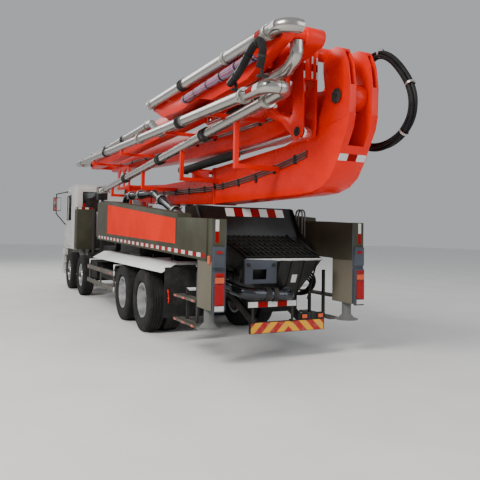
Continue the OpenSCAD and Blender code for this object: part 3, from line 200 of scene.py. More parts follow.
@dataclass(frozen=True)
class Paint:
    """Sprayed paint on sheet metal, with dust low down, faint mottling and dull patches.

    Below foot_top it may have another colour, as on the leg boxes.
    """

    name: str
    colour: Colour
    roughness: float = 0.42
    coat: float = 0.0
    dust: float = 0.25
    dust_top: float = 1.6
    dust_colour: Colour = (0.33, 0.3, 0.25)
    fade: float = 0.12
    gloss: float = 0.22
    foot_colour: Colour | None = None
    foot_top: float = 1.385

    def material(self) -> bpy.types.Material:
        """The paint as a material."""
        kit = Nodes(self.name)
        broad = kit.noise(1.3, 3.0)
        fine = kit.noise(28.0, 5.0, 0.65)
        streaks = kit.noise(9.0, 4.0, 0.6, kit.stretched((1.0, 1.0, 0.12)))
        faded = tuple(min(1.0, c * (1 + self.fade) + 0.03 * self.fade) for c in self.colour)
        deep = tuple(c * (1 - self.fade * 1.4) for c in self.colour)
        colour = kit.mix(kit.ramp(broad, 0.35, 0.68), deep, faded)
        if self.foot_colour:
            colour = kit.mix(kit.ramp(kit.height(), self.foot_top - 0.004, self.foot_top), self.foot_colour, colour)
        low = kit.ramp(kit.height(), 0.15, self.dust_top, 1.0, 0.25)
        dust = kit.math("MULTIPLY", kit.math("MULTIPLY", kit.ramp(streaks, 0.42, 0.75), low), self.dust)
        rough = kit.ramp(fine, 0.3, 0.75, self.roughness * 0.85, self.roughness * 1.25)
        kit.set(Base_Color=kit.mix(dust, colour, self.dust_colour),
                Roughness=kit.math("ADD", rough, kit.math("MULTIPLY", dust, 0.6)),
                Specular_IOR_Level=self.gloss, Coat_Weight=self.coat, Coat_Roughness=0.12)
        kit.bump(kit.noise(60.0, 2.0), 0.0005, 0.12)
        return kit.material


@dataclass(frozen=True)
class BareMetal:
    """Steel or aluminium with drawn streaks, blotches and dull grime."""

    name: str
    colour: Colour
    roughness: float = 0.3
    grime: float = 0.35
    grime_colour: Colour = (0.11, 0.1, 0.09)
    grain: Point = (0.06, 1.0, 1.0)
    streaks: float = 0.5

    def material(self) -> bpy.types.Material:
        """The metal as a material."""
        kit = Nodes(self.name)
        blotch = kit.noise(6.0, 5.0, 0.6)
        drawn = kit.noise(55.0, 3.0, 0.6, kit.stretched(self.grain))
        shade = tuple(c * 0.72 for c in self.colour)
        colour = kit.mix(kit.ramp(drawn, 0.3, 0.7, 0.0, self.streaks), self.colour, shade)
        dirty = kit.math("MULTIPLY", kit.ramp(blotch, 0.5, 0.72), self.grime)
        smooth, coarse = self.roughness * (1 - 0.4 * self.streaks), self.roughness * (1 + 0.6 * self.streaks)
        rough = kit.math("ADD", kit.ramp(drawn, 0.25, 0.75, smooth, coarse), kit.math("MULTIPLY", dirty, 0.5))
        kit.set(Base_Color=kit.mix(dirty, colour, self.grime_colour), Roughness=rough, Metallic=0.9)
        kit.bump(kit.noise(170.0, 2.0, 0.5, kit.stretched(self.grain)), 0.0001, 0.12)
        return kit.material


@dataclass(frozen=True)
class Dull:
    """Rubber, plastic or cloth wrap: dull, slightly grained, with pale dust."""

    name: str
    colour: Colour
    roughness: float = 0.75
    dust: float = 0.3
    dust_colour: Colour = (0.2, 0.18, 0.155)
    grain: float = 120.0
    depth: float = 0.0008
    gloss: float = 0.15

    def material(self) -> bpy.types.Material:
        """The dull surface as a material."""
        kit = Nodes(self.name)
        patch = kit.math("MULTIPLY", kit.ramp(kit.noise(5.0, 5.0, 0.65), 0.42, 0.72), self.dust)
        fine = kit.noise(self.grain, 3.0)
        kit.set(Base_Color=kit.mix(patch, self.colour, self.dust_colour), Specular_IOR_Level=self.gloss,
                Roughness=kit.ramp(fine, 0.3, 0.7, self.roughness * 0.9, min(1.0, self.roughness * 1.15)))
        kit.bump(fine, self.depth, 0.4)
        return kit.material


@dataclass(frozen=True)
class Lens:
    """Coloured lamp lens or reflector with small ribs, and a painted glow: its emission is painted light that makes
    it look lit.
    """

    name: str
    colour: Colour
    # Painted glow: emission strength that makes the lens or film look lit.
    painted_glow: float = 0.0
    ribs: float = 140.0
    roughness: float = 0.14
    coat: float = 0.4
    gloss: float = 0.5

    def material(self) -> bpy.types.Material:
        """The lens as a material."""
        kit = Nodes(self.name)
        rib = kit.wave(self.ribs, "Z")
        # Painted glow: the emission makes the lens look lit, though no lamp is behind it.
        kit.set(Base_Color=kit.mix(rib, tuple(c * 0.75 for c in self.colour), self.colour),
                Emission_Color=self.colour, Emission_Strength=self.painted_glow, Roughness=self.roughness,
                Coat_Weight=self.coat, Coat_Roughness=0.04, Specular_IOR_Level=self.gloss)
        kit.bump(rib, 0.001, 0.5)
        return kit.material


@dataclass(frozen=True)
class Glass:
    """Tinted window glass, dark from outside."""

    name: str
    tint: Colour
    clear: float = 0.75
    smear_colour: Colour = (0.5, 0.5, 0.48)

    def material(self) -> bpy.types.Material:
        """The glass as a material."""
        kit = Nodes(self.name)
        smear = kit.noise(4.0, 4.0)
        kit.set(Base_Color=kit.mix(kit.ramp(smear, 0.4, 0.8, 0.0, 0.2), self.tint, self.smear_colour),
                Roughness=kit.ramp(smear, 0.4, 0.8, 0.02, 0.12),
                Transmission_Weight=self.clear, IOR=1.5, Alpha=1.0)
        return kit.material


@dataclass(frozen=True)
class Stripes:
    """Sloping stripes that meet in the middle of the truck, in two colours of reflective film."""

    name: str
    one: Colour
    two: Colour
    pitch: float = 0.235
    middle: float = -0.07
    dust_colour: Colour = (0.3, 0.27, 0.22)

    def material(self) -> bpy.types.Material:
        """The film as a material."""
        kit = Nodes(self.name)
        across = kit.new("SeparateXYZ", {0: kit.place}).outputs["Y"]
        away = kit.math("ABSOLUTE", kit.math("SUBTRACT", across, self.middle), 0.0)
        slope = kit.math("DIVIDE", kit.math("ADD", away, kit.height()), self.pitch)
        stripe = kit.math("GREATER_THAN", kit.math("FRACT", slope, 0.0), 0.5)
        dust = kit.ramp(kit.noise(14.0, 5.0, 0.6), 0.45, 0.75, 0.0, 0.35)
        kit.set(Base_Color=kit.mix(dust, kit.mix(stripe, self.one, self.two), self.dust_colour),
                Roughness=kit.ramp(kit.noise(40.0), 0.3, 0.7, 0.3, 0.5))
        kit.bump(kit.noise(220.0, 2.0), 0.0005, 0.3)
        return kit.material


@dataclass(frozen=True)
class Woven:
    """Plastic sacking printed in checks of three colours, with its weave and painted shade darkening its folds."""

    name: str
    ground: Colour = (0.46, 0.42, 0.48)
    red: Colour = (0.36, 0.02, 0.03)
    blue: Colour = (0.03, 0.045, 0.22)
    # Painted shade: the dark colour that the folds are darkened towards.
    painted_fold_shade: Colour = (0.06, 0.05, 0.06)
    thread: float = 7.0
    crumple: float = 0.8

    def material(self) -> bpy.types.Material:
        """The cloth as a material."""
        kit = Nodes(self.name)
        painted_fold_mask = kit.noise(9.0, 3.0, 0.6)
        across = kit.wave(self.thread, "X", self.crumple)
        lengthwise = kit.wave(self.thread * 1.7, "Z", self.crumple)
        colour = kit.mix(kit.ramp(across, 0.42, 0.5), self.ground, self.blue)
        colour = kit.mix(kit.ramp(lengthwise, 0.62, 0.7), colour, self.red)
        # Painted shade in the folds: the colour darkens towards the fold shade where the fold noise is high.
        kit.set(Base_Color=kit.mix(kit.ramp(painted_fold_mask, 0.5, 0.75, 0.0, 0.5), colour, self.painted_fold_shade),
                Roughness=kit.ramp(painted_fold_mask, 0.3, 0.7, 0.45, 0.75))
        kit.bump(kit.noise(38.0, 4.0), 0.004, 0.7)
        return kit.material


DARK_DUST = (0.14, 0.125, 0.1)
OLIVE = (0.062, 0.062, 0.042)
OLIVE_DUST = (0.16, 0.145, 0.115)


class Look(Enum):
    """The finishes of the truck."""

    BOOM = Paint("boom_paint", (0.78, 0.01, 0.0), roughness=0.3, coat=0.08, dust=0.06, dust_top=2.8, fade=0.08,
                 gloss=0.18)
    FRAME = Paint("frame_paint", (0.02, 0.021, 0.021), roughness=0.48, dust=0.35, dust_colour=DARK_DUST,
                  gloss=0.12)
    ARM = Paint("arm_paint", OLIVE, dust=0.2, dust_top=1.9, dust_colour=OLIVE_DUST, gloss=0.08)
    LEG = Paint("leg_paint", OLIVE, dust=0.2, dust_top=1.9, dust_colour=OLIVE_DUST,
                gloss=0.08, foot_colour=(0.15, 0.138, 0.105))
    SLATE = Paint("slate_paint", (0.068, 0.078, 0.096), roughness=0.4, dust=0.2, dust_top=1.9,
                  dust_colour=DARK_DUST, gloss=0.1)
    CAB = Paint("cab_paint", (0.6, 0.59, 0.565), roughness=0.28, coat=0.1, dust=0.2, dust_top=1.8, fade=0.05)
    GUARD = Paint("guard_paint", (0.88, 0.89, 0.9), coat=0.03, dust=0.22, dust_top=1.5, fade=0.03)
    RAIL = Paint("rail_paint", (0.1, 0.094, 0.082), dust=0.3, dust_top=1.5, dust_colour=DARK_DUST, gloss=0.1)
    JACK = Paint("jack_paint", (0.15, 0.155, 0.155), dust_top=1.2, dust_colour=(0.2, 0.18, 0.145), gloss=0.15)
    HOPPER = Paint("hopper_paint", (0.01, 0.0105, 0.0098), roughness=0.36, dust_top=2.2,
                   dust_colour=(0.1, 0.09, 0.07), gloss=0.25)
    PANEL = Paint("panel_paint", (0.8, 0.018, 0.0), roughness=0.45, dust=0.03, dust_top=2.4, fade=0.06, gloss=0.04)
    PIPE = BareMetal("pipe_steel", (0.47, 0.45, 0.42), roughness=0.24, grime=0.1, grain=(0.02, 1.0, 1.0),
                     streaks=0.1)
    FEED = BareMetal("feed_steel", (0.062, 0.067, 0.076), roughness=0.2, grime=0.3, streaks=0.2)
    RIM = BareMetal("rim_steel", (0.5, 0.51, 0.52), roughness=0.34, grime=0.5)
    CHROME = BareMetal("chrome_rod", (0.78, 0.78, 0.79), roughness=0.12, grime=0.05, grain=(0.02, 1.0, 1.0))
    ZINC = BareMetal("zinc_coupling", (0.52, 0.51, 0.48), roughness=0.42)
    LINE = BareMetal("line_steel", (0.17, 0.165, 0.155), roughness=0.4, grime=0.3)
    MIRROR = BareMetal("mirror_silver", (0.85, 0.86, 0.87), roughness=0.04, grime=0.05)
    IRON = Dull("engine_iron", (0.05, 0.052, 0.054), roughness=0.6)
    TYRE = Dull("tyre_rubber", (0.022, 0.022, 0.0225), roughness=0.82, dust=0.1, grain=60.0, depth=0.0015)
    HOSE = Dull("hose_sleeve", (0.01, 0.01, 0.011), roughness=0.42, dust=0.06, grain=320.0)
    TRIM = Dull("trim_plastic", (0.02, 0.02, 0.021), roughness=0.6, dust=0.15)
    PIN = Dull("pin_oiled", (0.022, 0.022, 0.023), roughness=0.4, dust=0.2)
    HUB = Dull("hub_paint", (0.05, 0.05, 0.052), roughness=0.45, dust=0.5)
    SIGN = Dull("blank_white", (0.62, 0.62, 0.59), roughness=0.4, dust=0.25)
    GLASS = Glass("window_glass", (0.035, 0.05, 0.05), clear=0.6)
    # The lenses and tapes glow with painted light: their emission makes them look lit.
    LENS_RED = Lens("red_lens", (0.34, 0.0, 0.002), painted_glow=0.1, coat=0.05, gloss=0.15)
    LENS_AMBER = Lens("amber_lens", (0.66, 0.075, 0.0), painted_glow=0.04, gloss=0.35)
    LENS_CLEAR = Lens("clear_lens", (0.58, 0.58, 0.56), painted_glow=0.02)
    TAPE_RED = Lens("red_tape", (0.3, 0.0, 0.0), painted_glow=0.01, ribs=60.0, roughness=0.45, coat=0.0, gloss=0.1)
    TAPE_WHITE = Lens("white_tape", (0.7, 0.7, 0.68), painted_glow=0.04, ribs=60.0, roughness=0.42, coat=0.0, gloss=0.2)
    CHEVRON = Stripes("hazard_film", (0.74, 0.36, 0.0), (0.4, 0.0, 0.0))
    WRAP = Woven("sacking")

    def made(self) -> bpy.types.Material:
        """The material of this finish, made on first use."""
        return bpy.data.materials.get(LOOK_START + self.value.name) or self.value.material()


NODE_LOOKS: dict[str, Look] = {
    "boom_": Look.BOOM, "turret": Look.BOOM, "luff_rod": Look.CHROME, "fold_rods": Look.CHROME,
    "boom_hoses": Look.HOSE, "pipes_": Look.PIPE, "feed_pipe": Look.FEED,
    "tyre_": Look.TYRE, "rim_": Look.RIM, "knuckle_": Look.IRON, "engine": Look.IRON,
    "cab": Look.CAB, "door_": Look.CAB, "front_end": Look.CAB, "cab_glass": Look.GLASS, "cab_inside": Look.TRIM,
    "mirrors": Look.TRIM, "guards": Look.GUARD, "hopper": Look.HOPPER, "grate": Look.HOPPER,
    "arm_": Look.LEG, "jack_": Look.JACK, "beam_": Look.ARM,
}


@dataclass(frozen=True)
class Zone:
    """Box in which the faces of a CAD node have a finish of their own, set out from the last axle."""

    look: Look
    low: Point
    high: Point
    both_sides: bool = True

    def holds(self, centre: Vector) -> bool:
        """Whether the middle of a face lies in the box, on either side where both are meant."""
        place = (centre.x + MIDDLE, abs(centre.y) if self.both_sides else centre.y, centre.z)
        return all(low <= value <= high for low, value, high in zip(self.low, place, self.high))


@dataclass(frozen=True)
class Away:
    """Faces of a CAD node that lie away from a straight axis: the brackets of a pipe."""

    look: Look
    start: Point
    end: Point
    reach: float = 0.099

    def holds(self, centre: Vector) -> bool:
        """Whether the middle of a face lies beside the axis, and not on the pipe round it.

        Args:
            centre: middle of the face, in the frame of the model.

        Returns:
            True if it does.
        """
        near, run = at(*self.start), at(*self.end) - at(*self.start)
        share = (centre - near).dot(run) / run.length_squared
        return 0.0 < share < 1.0 and (centre - near - run * share).length > self.reach


LAMP_POST = (Zone(Look.SLATE, (-3.16, 1.0, 0.7), (-3.1085, 1.22, 1.6)),)

ZONES: dict[str, tuple[Zone | Away, ...]] = {
    "cab": (Zone(Look.TRIM, (9.3025, 0.0, 1.38), (9.33, 0.9, 1.92)),),
    "front_end": (Zone(Look.TRIM, (9.352, 0.0, 0.84), (9.38, 0.9, 1.1)),),
    "pipes_1": (Away(Look.BOOM, (4.8, 0.86, 2.812), (-4.2, 0.86, 3.34)),),
    "pipes_2": (Away(Look.BOOM, (-4.2, 1.12, 3.355), (7.0, 1.12, 3.714)),),
    "pipes_3": (Away(Look.BOOM, (-4.1, 0.812, 3.59), (0.2, 0.812, 3.59)),
                Away(Look.BOOM, (0.9, 0.86, 3.85), (6.3, 0.86, 3.85))),
    "pipes_4": (Away(Look.BOOM, (-4.5, 1.12, 3.934), (-0.15, 1.12, 4.017)),),
    "guards": (Zone(Look.RAIL, (2.15, 1.0, 0.4), (5.0, 1.25, 0.98)),
               Zone(Look.TRIM, (-1.33, 0.5, 0.4), (-1.27, 1.25, 1.21)),
               Zone(Look.RAIL, (-2.6, 1.0, 0.45), (-1.6, 1.2, 0.495)),
               Zone(Look.RAIL, (-2.6, 1.0, 0.795), (-1.6, 1.2, 0.84)),
               Zone(Look.FRAME, (-2.6, 0.9, 0.3), (-1.6, 1.2, 1.4))),
    "hopper": (Zone(Look.SLATE, (-2.93, 0.12, 1.06), (-2.899, 0.65, 1.395), False),
               Zone(Look.ZINC, (-2.92, -1.0, 1.379), (-2.892, 1.0, 1.41), False)),
    "arm_l": LAMP_POST,
    "arm_r": LAMP_POST,
    "boom_2": (Zone(Look.CHROME, (5.72, -0.315, 3.6), (6.85, -0.225, 3.8), False),
               Zone(Look.FRAME, (3.9, -0.335, 3.56), (5.72, -0.208, 3.78), False)),
    "boom_3": (Zone(Look.CHROME, (-2.29, 0.575, 3.46), (-1.52, 0.65, 3.54), False),
               Zone(Look.FRAME, (-3.9, 0.558, 3.445), (-2.29, 0.67, 3.555), False)),
    "boom_4": (Zone(Look.CHROME, (-2.7, 1.06, 3.7), (-1.68, 1.14, 3.82), False),),
}


def look_of(node: str) -> Look:
    """Finish of a CAD node, from the longest start of its name in NODE_LOOKS, or dark frame paint."""
    fits = [start for start in NODE_LOOKS if node.startswith(start)]
    return NODE_LOOKS[max(fits, key=len)] if fits else Look.FRAME


# Camera and studio


@dataclass
class Camera:
    """The camera that took the photograph, found by fitting known sizes of the truck to it."""

    place: Point = (-9.533, 3.963, 1.749)
    yaw: float = -0.456
    pitch: float = 0.037
    roll: float = 0.016
    focal_px: float = 550.46
    frame_px: float = 480.0
    axis_px: tuple[float, float] = (240.0, 213.0)
    sensor: float = 36.0
    far: float = 200.0

    def build(self) -> bpy.types.Object:
        """Makes the camera and hands it to the scene."""
        data = bpy.data.cameras.new("camera")
        data.sensor_width = self.sensor
        data.lens = self.focal_px / self.frame_px * data.sensor_width
        data.shift_x = (self.frame_px / 2 - self.axis_px[0]) / self.frame_px
        data.shift_y = (self.axis_px[1] - self.frame_px / 2) / self.frame_px
        data.clip_end = self.far
        reach = math.cos(self.pitch)
        forward = Vector((math.cos(self.yaw) * reach, math.sin(self.yaw) * reach, math.sin(self.pitch)))
        level = Vector((math.sin(self.yaw), -math.cos(self.yaw), 0.0))
        upright = level.cross(forward)
        right = level * math.cos(self.roll) + upright * math.sin(self.roll)
        up = upright * math.cos(self.roll) - level * math.sin(self.roll)
        camera = placed("camera", data)
        turn = Matrix((right, up, -forward)).transposed().to_4x4()
        camera.matrix_world = Matrix.Translation(at(*self.place)) @ turn
        bpy.context.scene.camera = camera
        return camera


@dataclass(frozen=True)
class Lamp:
    """One large square lamp that faces the truck."""

    name: str
    place: Point
    size: float
    power: float
    colour: Colour
    aim: Point = (0.0, 0.0, 1.5)

    def build(self) -> None:
        """Hangs the lamp."""
        data = bpy.data.lights.new(self.name, "AREA")
        data.size, data.energy, data.color = self.size, self.power, self.colour
        lamp = placed(self.name, data)
        lamp.location = self.place
        lamp.rotation_euler = (Vector(self.aim) - Vector(self.place)).to_track_quat("-Z", "Y").to_euler()


@dataclass
class Studio:
    """Pale floor, soft lamps and an even sky."""

    floor_half: float = 60.0
    floor_colour: Colour = (0.88, 0.87, 0.85)
    sky_colour: Colour = (0.88, 0.91, 0.95)
    sky_strength: float = 0.48
    lamps: tuple[Lamp, ...] = (Lamp("key", (-10.0, 13.0, 12.0), 6.0, 2700.0, (1.0, 0.97, 0.92)),
                               Lamp("fill", (-16.0, -6.0, 7.0), 9.0, 600.0, (0.93, 0.96, 1.0)),
                               Lamp("front", (14.0, 6.0, 12.0), 9.0, 900.0, (1.0, 0.98, 0.95)))

    def build(self) -> None:
        """Makes the floor, the lights and the world."""
        mesh = bmesh.new()
        bmesh.ops.create_grid(mesh, x_segments=1, y_segments=1, size=self.floor_half)
        data = bpy.data.meshes.new("floor")
        mesh.to_mesh(data)
        mesh.free()
        floor = placed("floor", data)
        kit = Nodes("floor")
        worn = tuple(c * 0.94 for c in self.floor_colour)
        kit.set(Base_Color=kit.mix(kit.ramp(kit.noise(0.8, 4.0), 0.3, 0.7), self.floor_colour, worn), Roughness=0.85)
        floor.data.materials.append(kit.material)
        for lamp in self.lamps:
            lamp.build()
        world = bpy.data.worlds.new("sky")
        world.use_nodes = True
        sky = world.node_tree.nodes["Background"]
        sky.inputs["Color"].default_value = (*self.sky_colour, 1.0)
        sky.inputs["Strength"].default_value = self.sky_strength
        bpy.context.scene.world = world


# Making pieces


def band(inner: float, outer: float, half: float) -> list[tuple[float, float]]:
    """Square cross-section of a band, for a lathe."""
    return [(inner, -half), (outer, -half), (outer, half), (inner, half)]


def grooved_band(inner: float, outer: float, half: float, waist: float, dip: float) -> list[tuple[float, float]]:
    """Cross-section of a band with chamfered rims and, round its middle, a groove of two waists by a dip."""
    rim = [(inner, half), (outer - 0.004, half), (outer, half - 0.006), (outer - dip, waist)]
    return [(radius, -across) for radius, across in rim] + rim[::-1]


def around(share: float, radius: float) -> Vector:
    """Arm of a circle in the XZ plane, at a share of a turn from the X axis."""
    return Vector((math.cos(share * math.tau), 0.0, math.sin(share * math.tau))) * radius


class Shape:
    """A piece under construction, in the frame of the model."""

    def __init__(self) -> None:
        """Starts with nothing."""
        self.mesh = bmesh.new()

    def block(self, low: Vector, high: Vector) -> Shape:
        """Adds a block between its lowest and its highest corner."""
        return self.turned_block(Matrix(), low, high)

    def mirrored(self, side: int, low: Point, high: Point) -> Shape:
        """Adds a block set out from the last axle on the left (side 1), or its mirror image (side -1)."""
        y0, y1 = sorted((side * low[1], side * high[1]))
        return self.block(at(low[0], y0, low[2]), at(high[0], y1, high[2]))

    def turned_block(self, frame: Matrix, low: Point | Vector, high: Point | Vector) -> Shape:
        """Adds a block between two corners given in a turned frame.

        Args:
            frame: the frame as a 4x4 matrix.
            low: lowest corner in that frame.
            high: highest corner in that frame.

        Returns:
            The shape itself.
        """
        one, two = Vector(low), Vector(high)
        place = frame @ Matrix.Translation((one + two) / 2) @ Matrix.Diagonal((*(two - one), 1.0))
        bmesh.ops.create_cube(self.mesh, size=1.0, matrix=place)
        return self

    def bar(self, start: Vector, end: Vector, radius: float, sides: int = 20, taper: float = 1.0) -> Shape:
        """Adds a round or many-sided bar.

        Args:
            start: middle of one end.
            end: middle of the other end.
            radius: its radius at the start.
            sides: number of sides.
            taper: radius at the end, as a share of the first.

        Returns:
            The shape itself.
        """
        axis = end - start
        place = Matrix.Translation((start + end) / 2) @ axis.to_track_quat("Z", "Y").to_matrix().to_4x4()
        bmesh.ops.create_cone(self.mesh, cap_ends=True, segments=sides, radius1=radius, radius2=radius * taper,
                              depth=axis.length, matrix=place)
        return self

    def bars(self, rows: Iterable[Bar], shift_y: float = 0.0) -> Shape:
        """Adds bars set out from the last axle, all moved across by a distance."""
        for (x0, y0, z0), (x1, y1, z1), radius, sides, taper in rows:
            self.bar(at(x0, y0 + shift_y, z0), at(x1, y1 + shift_y, z1), radius, sides, taper)
        return self

    def sheet(self, outline: Iterable[Vector], depth: Vector) -> Shape:
        """Adds a flat sheet: an outline drawn out by a depth.

        Args:
            outline: its corners in order.
            depth: the way and distance it is drawn out.

        Returns:
            The shape itself.
        """
        corners = [self.mesh.verts.new(corner) for corner in outline]
        faces = bmesh.ops.contextual_create(self.mesh, geom=corners)["faces"]
        drawn = bmesh.ops.extrude_face_region(self.mesh, geom=faces)["geom"]
        bmesh.ops.translate(self.mesh, verts=[v for v in drawn if isinstance(v, bmesh.types.BMVert)], vec=depth)
        return self

    def lathe(self, profile: Sequence[tuple[float, float]], centre: Vector, axis: Vector, steps: int = 32,
              closed: bool = True) -> Shape:
        """Adds a turned form.

        Args:
            profile: radius and distance along the axis, point by point.
            centre: a point on the axis, where the distance is 0.
            axis: unit vector along the axis.
            steps: faces round it.
            closed: whether the profile is a closed loop.

        Returns:
            The shape itself.
        """
        side = axis.orthogonal().normalized()
        rim = [self.mesh.verts.new(centre + side * radius + axis * along) for radius, along in profile]
        pairs = list(zip(rim, rim[1:])) + ([(rim[-1], rim[0])] if closed else [])
        edges = [self.mesh.edges.new(pair) for pair in pairs]
        bmesh.ops.spin(self.mesh, geom=rim + edges, cent=centre, axis=axis, angle=math.tau, steps=steps,
                       use_merge=True)
        return self

    def done(self, name: str, look: Look, body: str, bevel: float = 0.002, segments: int = 2) -> bpy.types.Object:
        """Closes the shape, makes it an object and lets it ride.

        Args:
            name: the piece's name.
            look: its finish.
            body: the body that it rides on.
            bevel: width of its rounded edges; 0 for none.
            segments: faces across a rounded edge.

        Returns:
            The object.
        """
        bmesh.ops.remove_doubles(self.mesh, verts=self.mesh.verts, dist=MERGE)
        bmesh.ops.recalc_face_normals(self.mesh, faces=self.mesh.faces)
        data = bpy.data.meshes.new(name)
        self.mesh.to_mesh(data)
        self.mesh.free()
        return dressed(name, data, look, body, bevel, segments)


def round_edges(piece: bpy.types.Object, width: float, segments: int) -> None:
    """Rounds the sharp edges of a piece.

    Args:
        piece: its object.
        width: width of its rounded edges.
        segments: faces across a rounded edge.
    """
    edges = piece.modifiers.new("edges", "BEVEL")
    edges.width = width
    edges.segments = segments
    edges.limit_method = "ANGLE"
    edges.angle_limit = SHARP
    edges.harden_normals = True


def dressed(name: str, data: bpy.types.Mesh, look: Look, body: str, bevel: float = 0.0,
            segments: int = 2) -> bpy.types.Object:
    """Makes a piece of a mesh.

    Args:
        name: the piece's name.
        data: its mesh.
        look: its finish.
        body: the body that it rides on.
        bevel: width of its rounded edges; 0 for none.
        segments: faces across a rounded edge.

    Returns:
        The object.
    """
    data.shade_smooth()
    data.set_sharp_from_angle(angle=SHARP)
    data.materials.append(look.made())
    piece = placed(name, data)
    if bevel:
        round_edges(piece, bevel, segments)
    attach(piece, body)
    log.info("%s rides on %s", name, body)
    return piece


def hose(name: str, points: Sequence[Vector], radius: float, look: Look, body: str, closed: bool = False,
         straight: bool = False) -> bpy.types.Object:
    """Makes a hose, line or rubber seal along a row of points.

    Args:
        name: the piece's name.
        points: points that its middle line follows.
        radius: its radius.
        look: its finish.
        body: the body that it rides on.
        closed: whether it joins up.
        straight: whether it turns sharply at its points.

    Returns:
        The object.
    """
    curve = bpy.data.curves.new(name, "CURVE")
    curve.dimensions = "3D"
    curve.bevel_depth = radius
    curve.bevel_resolution = 2
    curve.resolution_u = 5
    curve.use_fill_caps = True
    spline = curve.splines.new("POLY" if straight else "NURBS")
    spline.points.add(len(points) - 1)
    for knot, point in zip(spline.points, points):
        knot.co = (*point, 1.0)
    spline.use_endpoint_u = not closed
    spline.use_cyclic_u = closed
    spline.order_u = 3
    line = placed(name, curve)
    bpy.context.view_layer.update()
    data = bpy.data.meshes.new_from_object(line.evaluated_get(bpy.context.evaluated_depsgraph_get()))
    data.materials.clear()
    bpy.data.objects.remove(line)
    return dressed(name, data, look, body)


def along(direction: Vector, centre: Vector) -> Matrix:
    """Frame whose Z runs along a direction and whose X points up as far as it can.

    Args:
        direction: the way of its Z.
        centre: its origin.

    Returns:
        The frame as a 4x4 matrix.
    """
    ahead = direction.normalized()
    up = (UP - ahead * ahead.z).normalized()
    left = ahead.cross(up)
    return Matrix.Translation(centre) @ Matrix((up, left, ahead)).transposed().to_4x4()


# Sub-assemblies


@dataclass
class Dressing:
    """Gives every CAD node its finish and softens its edges."""

    nodes: dict[str, bpy.types.Object]
    width: float = 0.004
    weld_gap: float = 0.00005
    plain: tuple[str, ...] = ("cab_glass", "boom_hoses", "grate", "pipes_1", "pipes_2", "pipes_3", "pipes_4")

    def build(self) -> None:
        """Dresses all nodes."""
        for name, piece in self.nodes.items():
            piece.data.materials.clear()
            piece.data.materials.append(look_of(name).made())
            self.mark(piece, ZONES.get(name, ()))
            piece.data.shade_smooth()
            piece.modifiers.new("weld", "WELD").merge_threshold = self.weld_gap
            if name in self.plain:
                piece.modifiers.new("flat", "EDGE_SPLIT").split_angle = SHARP
            else:
                round_edges(piece, self.width, 2)

    @staticmethod
    def mark(piece: bpy.types.Object, zones: tuple[Zone | Away, ...]) -> None:
        """Gives the faces in each zone its finish.

        Args:
            piece: the node's object.
            zones: its zones; a face takes the first that holds it.
        """
        for zone in zones:
            piece.data.materials.append(zone.look.made())
        for face in piece.data.polygons if zones else ():
            face.material_index = next((i + 1 for i, zone in enumerate(zones) if zone.holds(face.center)), 0)


@dataclass(frozen=True)
class Wheel:
    """Place of one wheel set, single or twin."""

    tag: str
    x: float
    side: int
    twin: bool
    radius: float = 0.545
    middle_y: float = 1.07

    @property
    def body(self) -> str:
        """Body that turns with it."""
        return f"wheel_{self.tag}"

    def centre(self, out: float) -> Vector:
        """Point on its axis, set outwards from the middle of the outer tyre."""
        return at(self.x, self.side * (self.middle_y + out), self.radius)


@dataclass
class Tyre:
    """Road tyre with zigzag grooves and notched shoulders; a twin wheel carries two."""

    wheel: Wheel
    pitch: float = 0.34
    steps: int = 96
    half: float = 0.16
    tread_half: float = 0.09
    tread_depth: float = 0.02
    groove_depth: float = 0.014
    groove_half: float = 0.007
    grooves: Row = (-0.069, -0.023, 0.023, 0.069)
    zigzag: float = 0.0055
    notch: float = 0.009
    notch_every: int = 3
    shoulder: float = 0.53
    wall: Pairs = (
        (0.2926, 0.1118), (0.322, 0.1125), (0.352, 0.144), (0.398, 0.149), (0.4415, 0.1495), (0.4435, 0.1512),
        (0.4485, 0.1512), (0.4505, 0.1495), (0.485, 0.149), (0.512, 0.141), (0.536, 0.129), (0.545, 0.111))

    def profile(self) -> list[tuple[float, float]]:
        """Cross-section, from the inner bead over the tread to the other bead.

        Returns:
            Radius and distance across, point by point.
        """
        top = self.wheel.radius
        floor = top - self.groove_depth
        points = [(radius, -across) for radius, across in self.wall]
        for groove in self.grooves:
            points += [(top, groove - self.groove_half), (floor, groove - self.groove_half / 2),
                       (floor, groove + self.groove_half / 2), (top, groove + self.groove_half)]
        return points + [(radius, across) for radius, across in reversed(self.wall)]

    def carve(self, shape: Shape, centre: Vector) -> None:
        """Bends the grooves into a zigzag and notches the shoulders.

        Args:
            shape: the turned tyres.
            centre: middle of the tyre to carve.
        """
        for vert in shape.mesh.verts:
            arm = vert.co - centre
            if abs(arm.y) > self.half:
                continue
            reach = math.hypot(arm.x, arm.z)
            step = round(math.atan2(arm.z, arm.x) / math.tau * self.steps) % self.steps
            if reach > self.wheel.radius - self.tread_depth and abs(arm.y) < self.tread_half:
                vert.co.y += self.zigzag if (step // 2) % 2 else -self.zigzag
            elif reach > self.shoulder and step % self.notch_every == 0:
                vert.co.x -= arm.x / reach * self.notch
                vert.co.z -= arm.z / reach * self.notch

    def build(self) -> None:
        """Makes the tyre, which stands for its CAD node."""
        shape = Shape()
        centres = [self.wheel.centre(row) for row in ((0.0, -self.pitch) if self.wheel.twin else (0.0,))]
        for centre in centres:
            shape.lathe(self.profile(), centre, LEFT, self.steps)
        bmesh.ops.remove_doubles(shape.mesh, verts=shape.mesh.verts, dist=MERGE)
        for centre in centres:
            self.carve(shape, centre)
        node = f"tyre_{self.wheel.tag}"
        piece = shape.done(f"{node}_tread", Look.TYRE, self.wheel.body, 0.0)
        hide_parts(node)


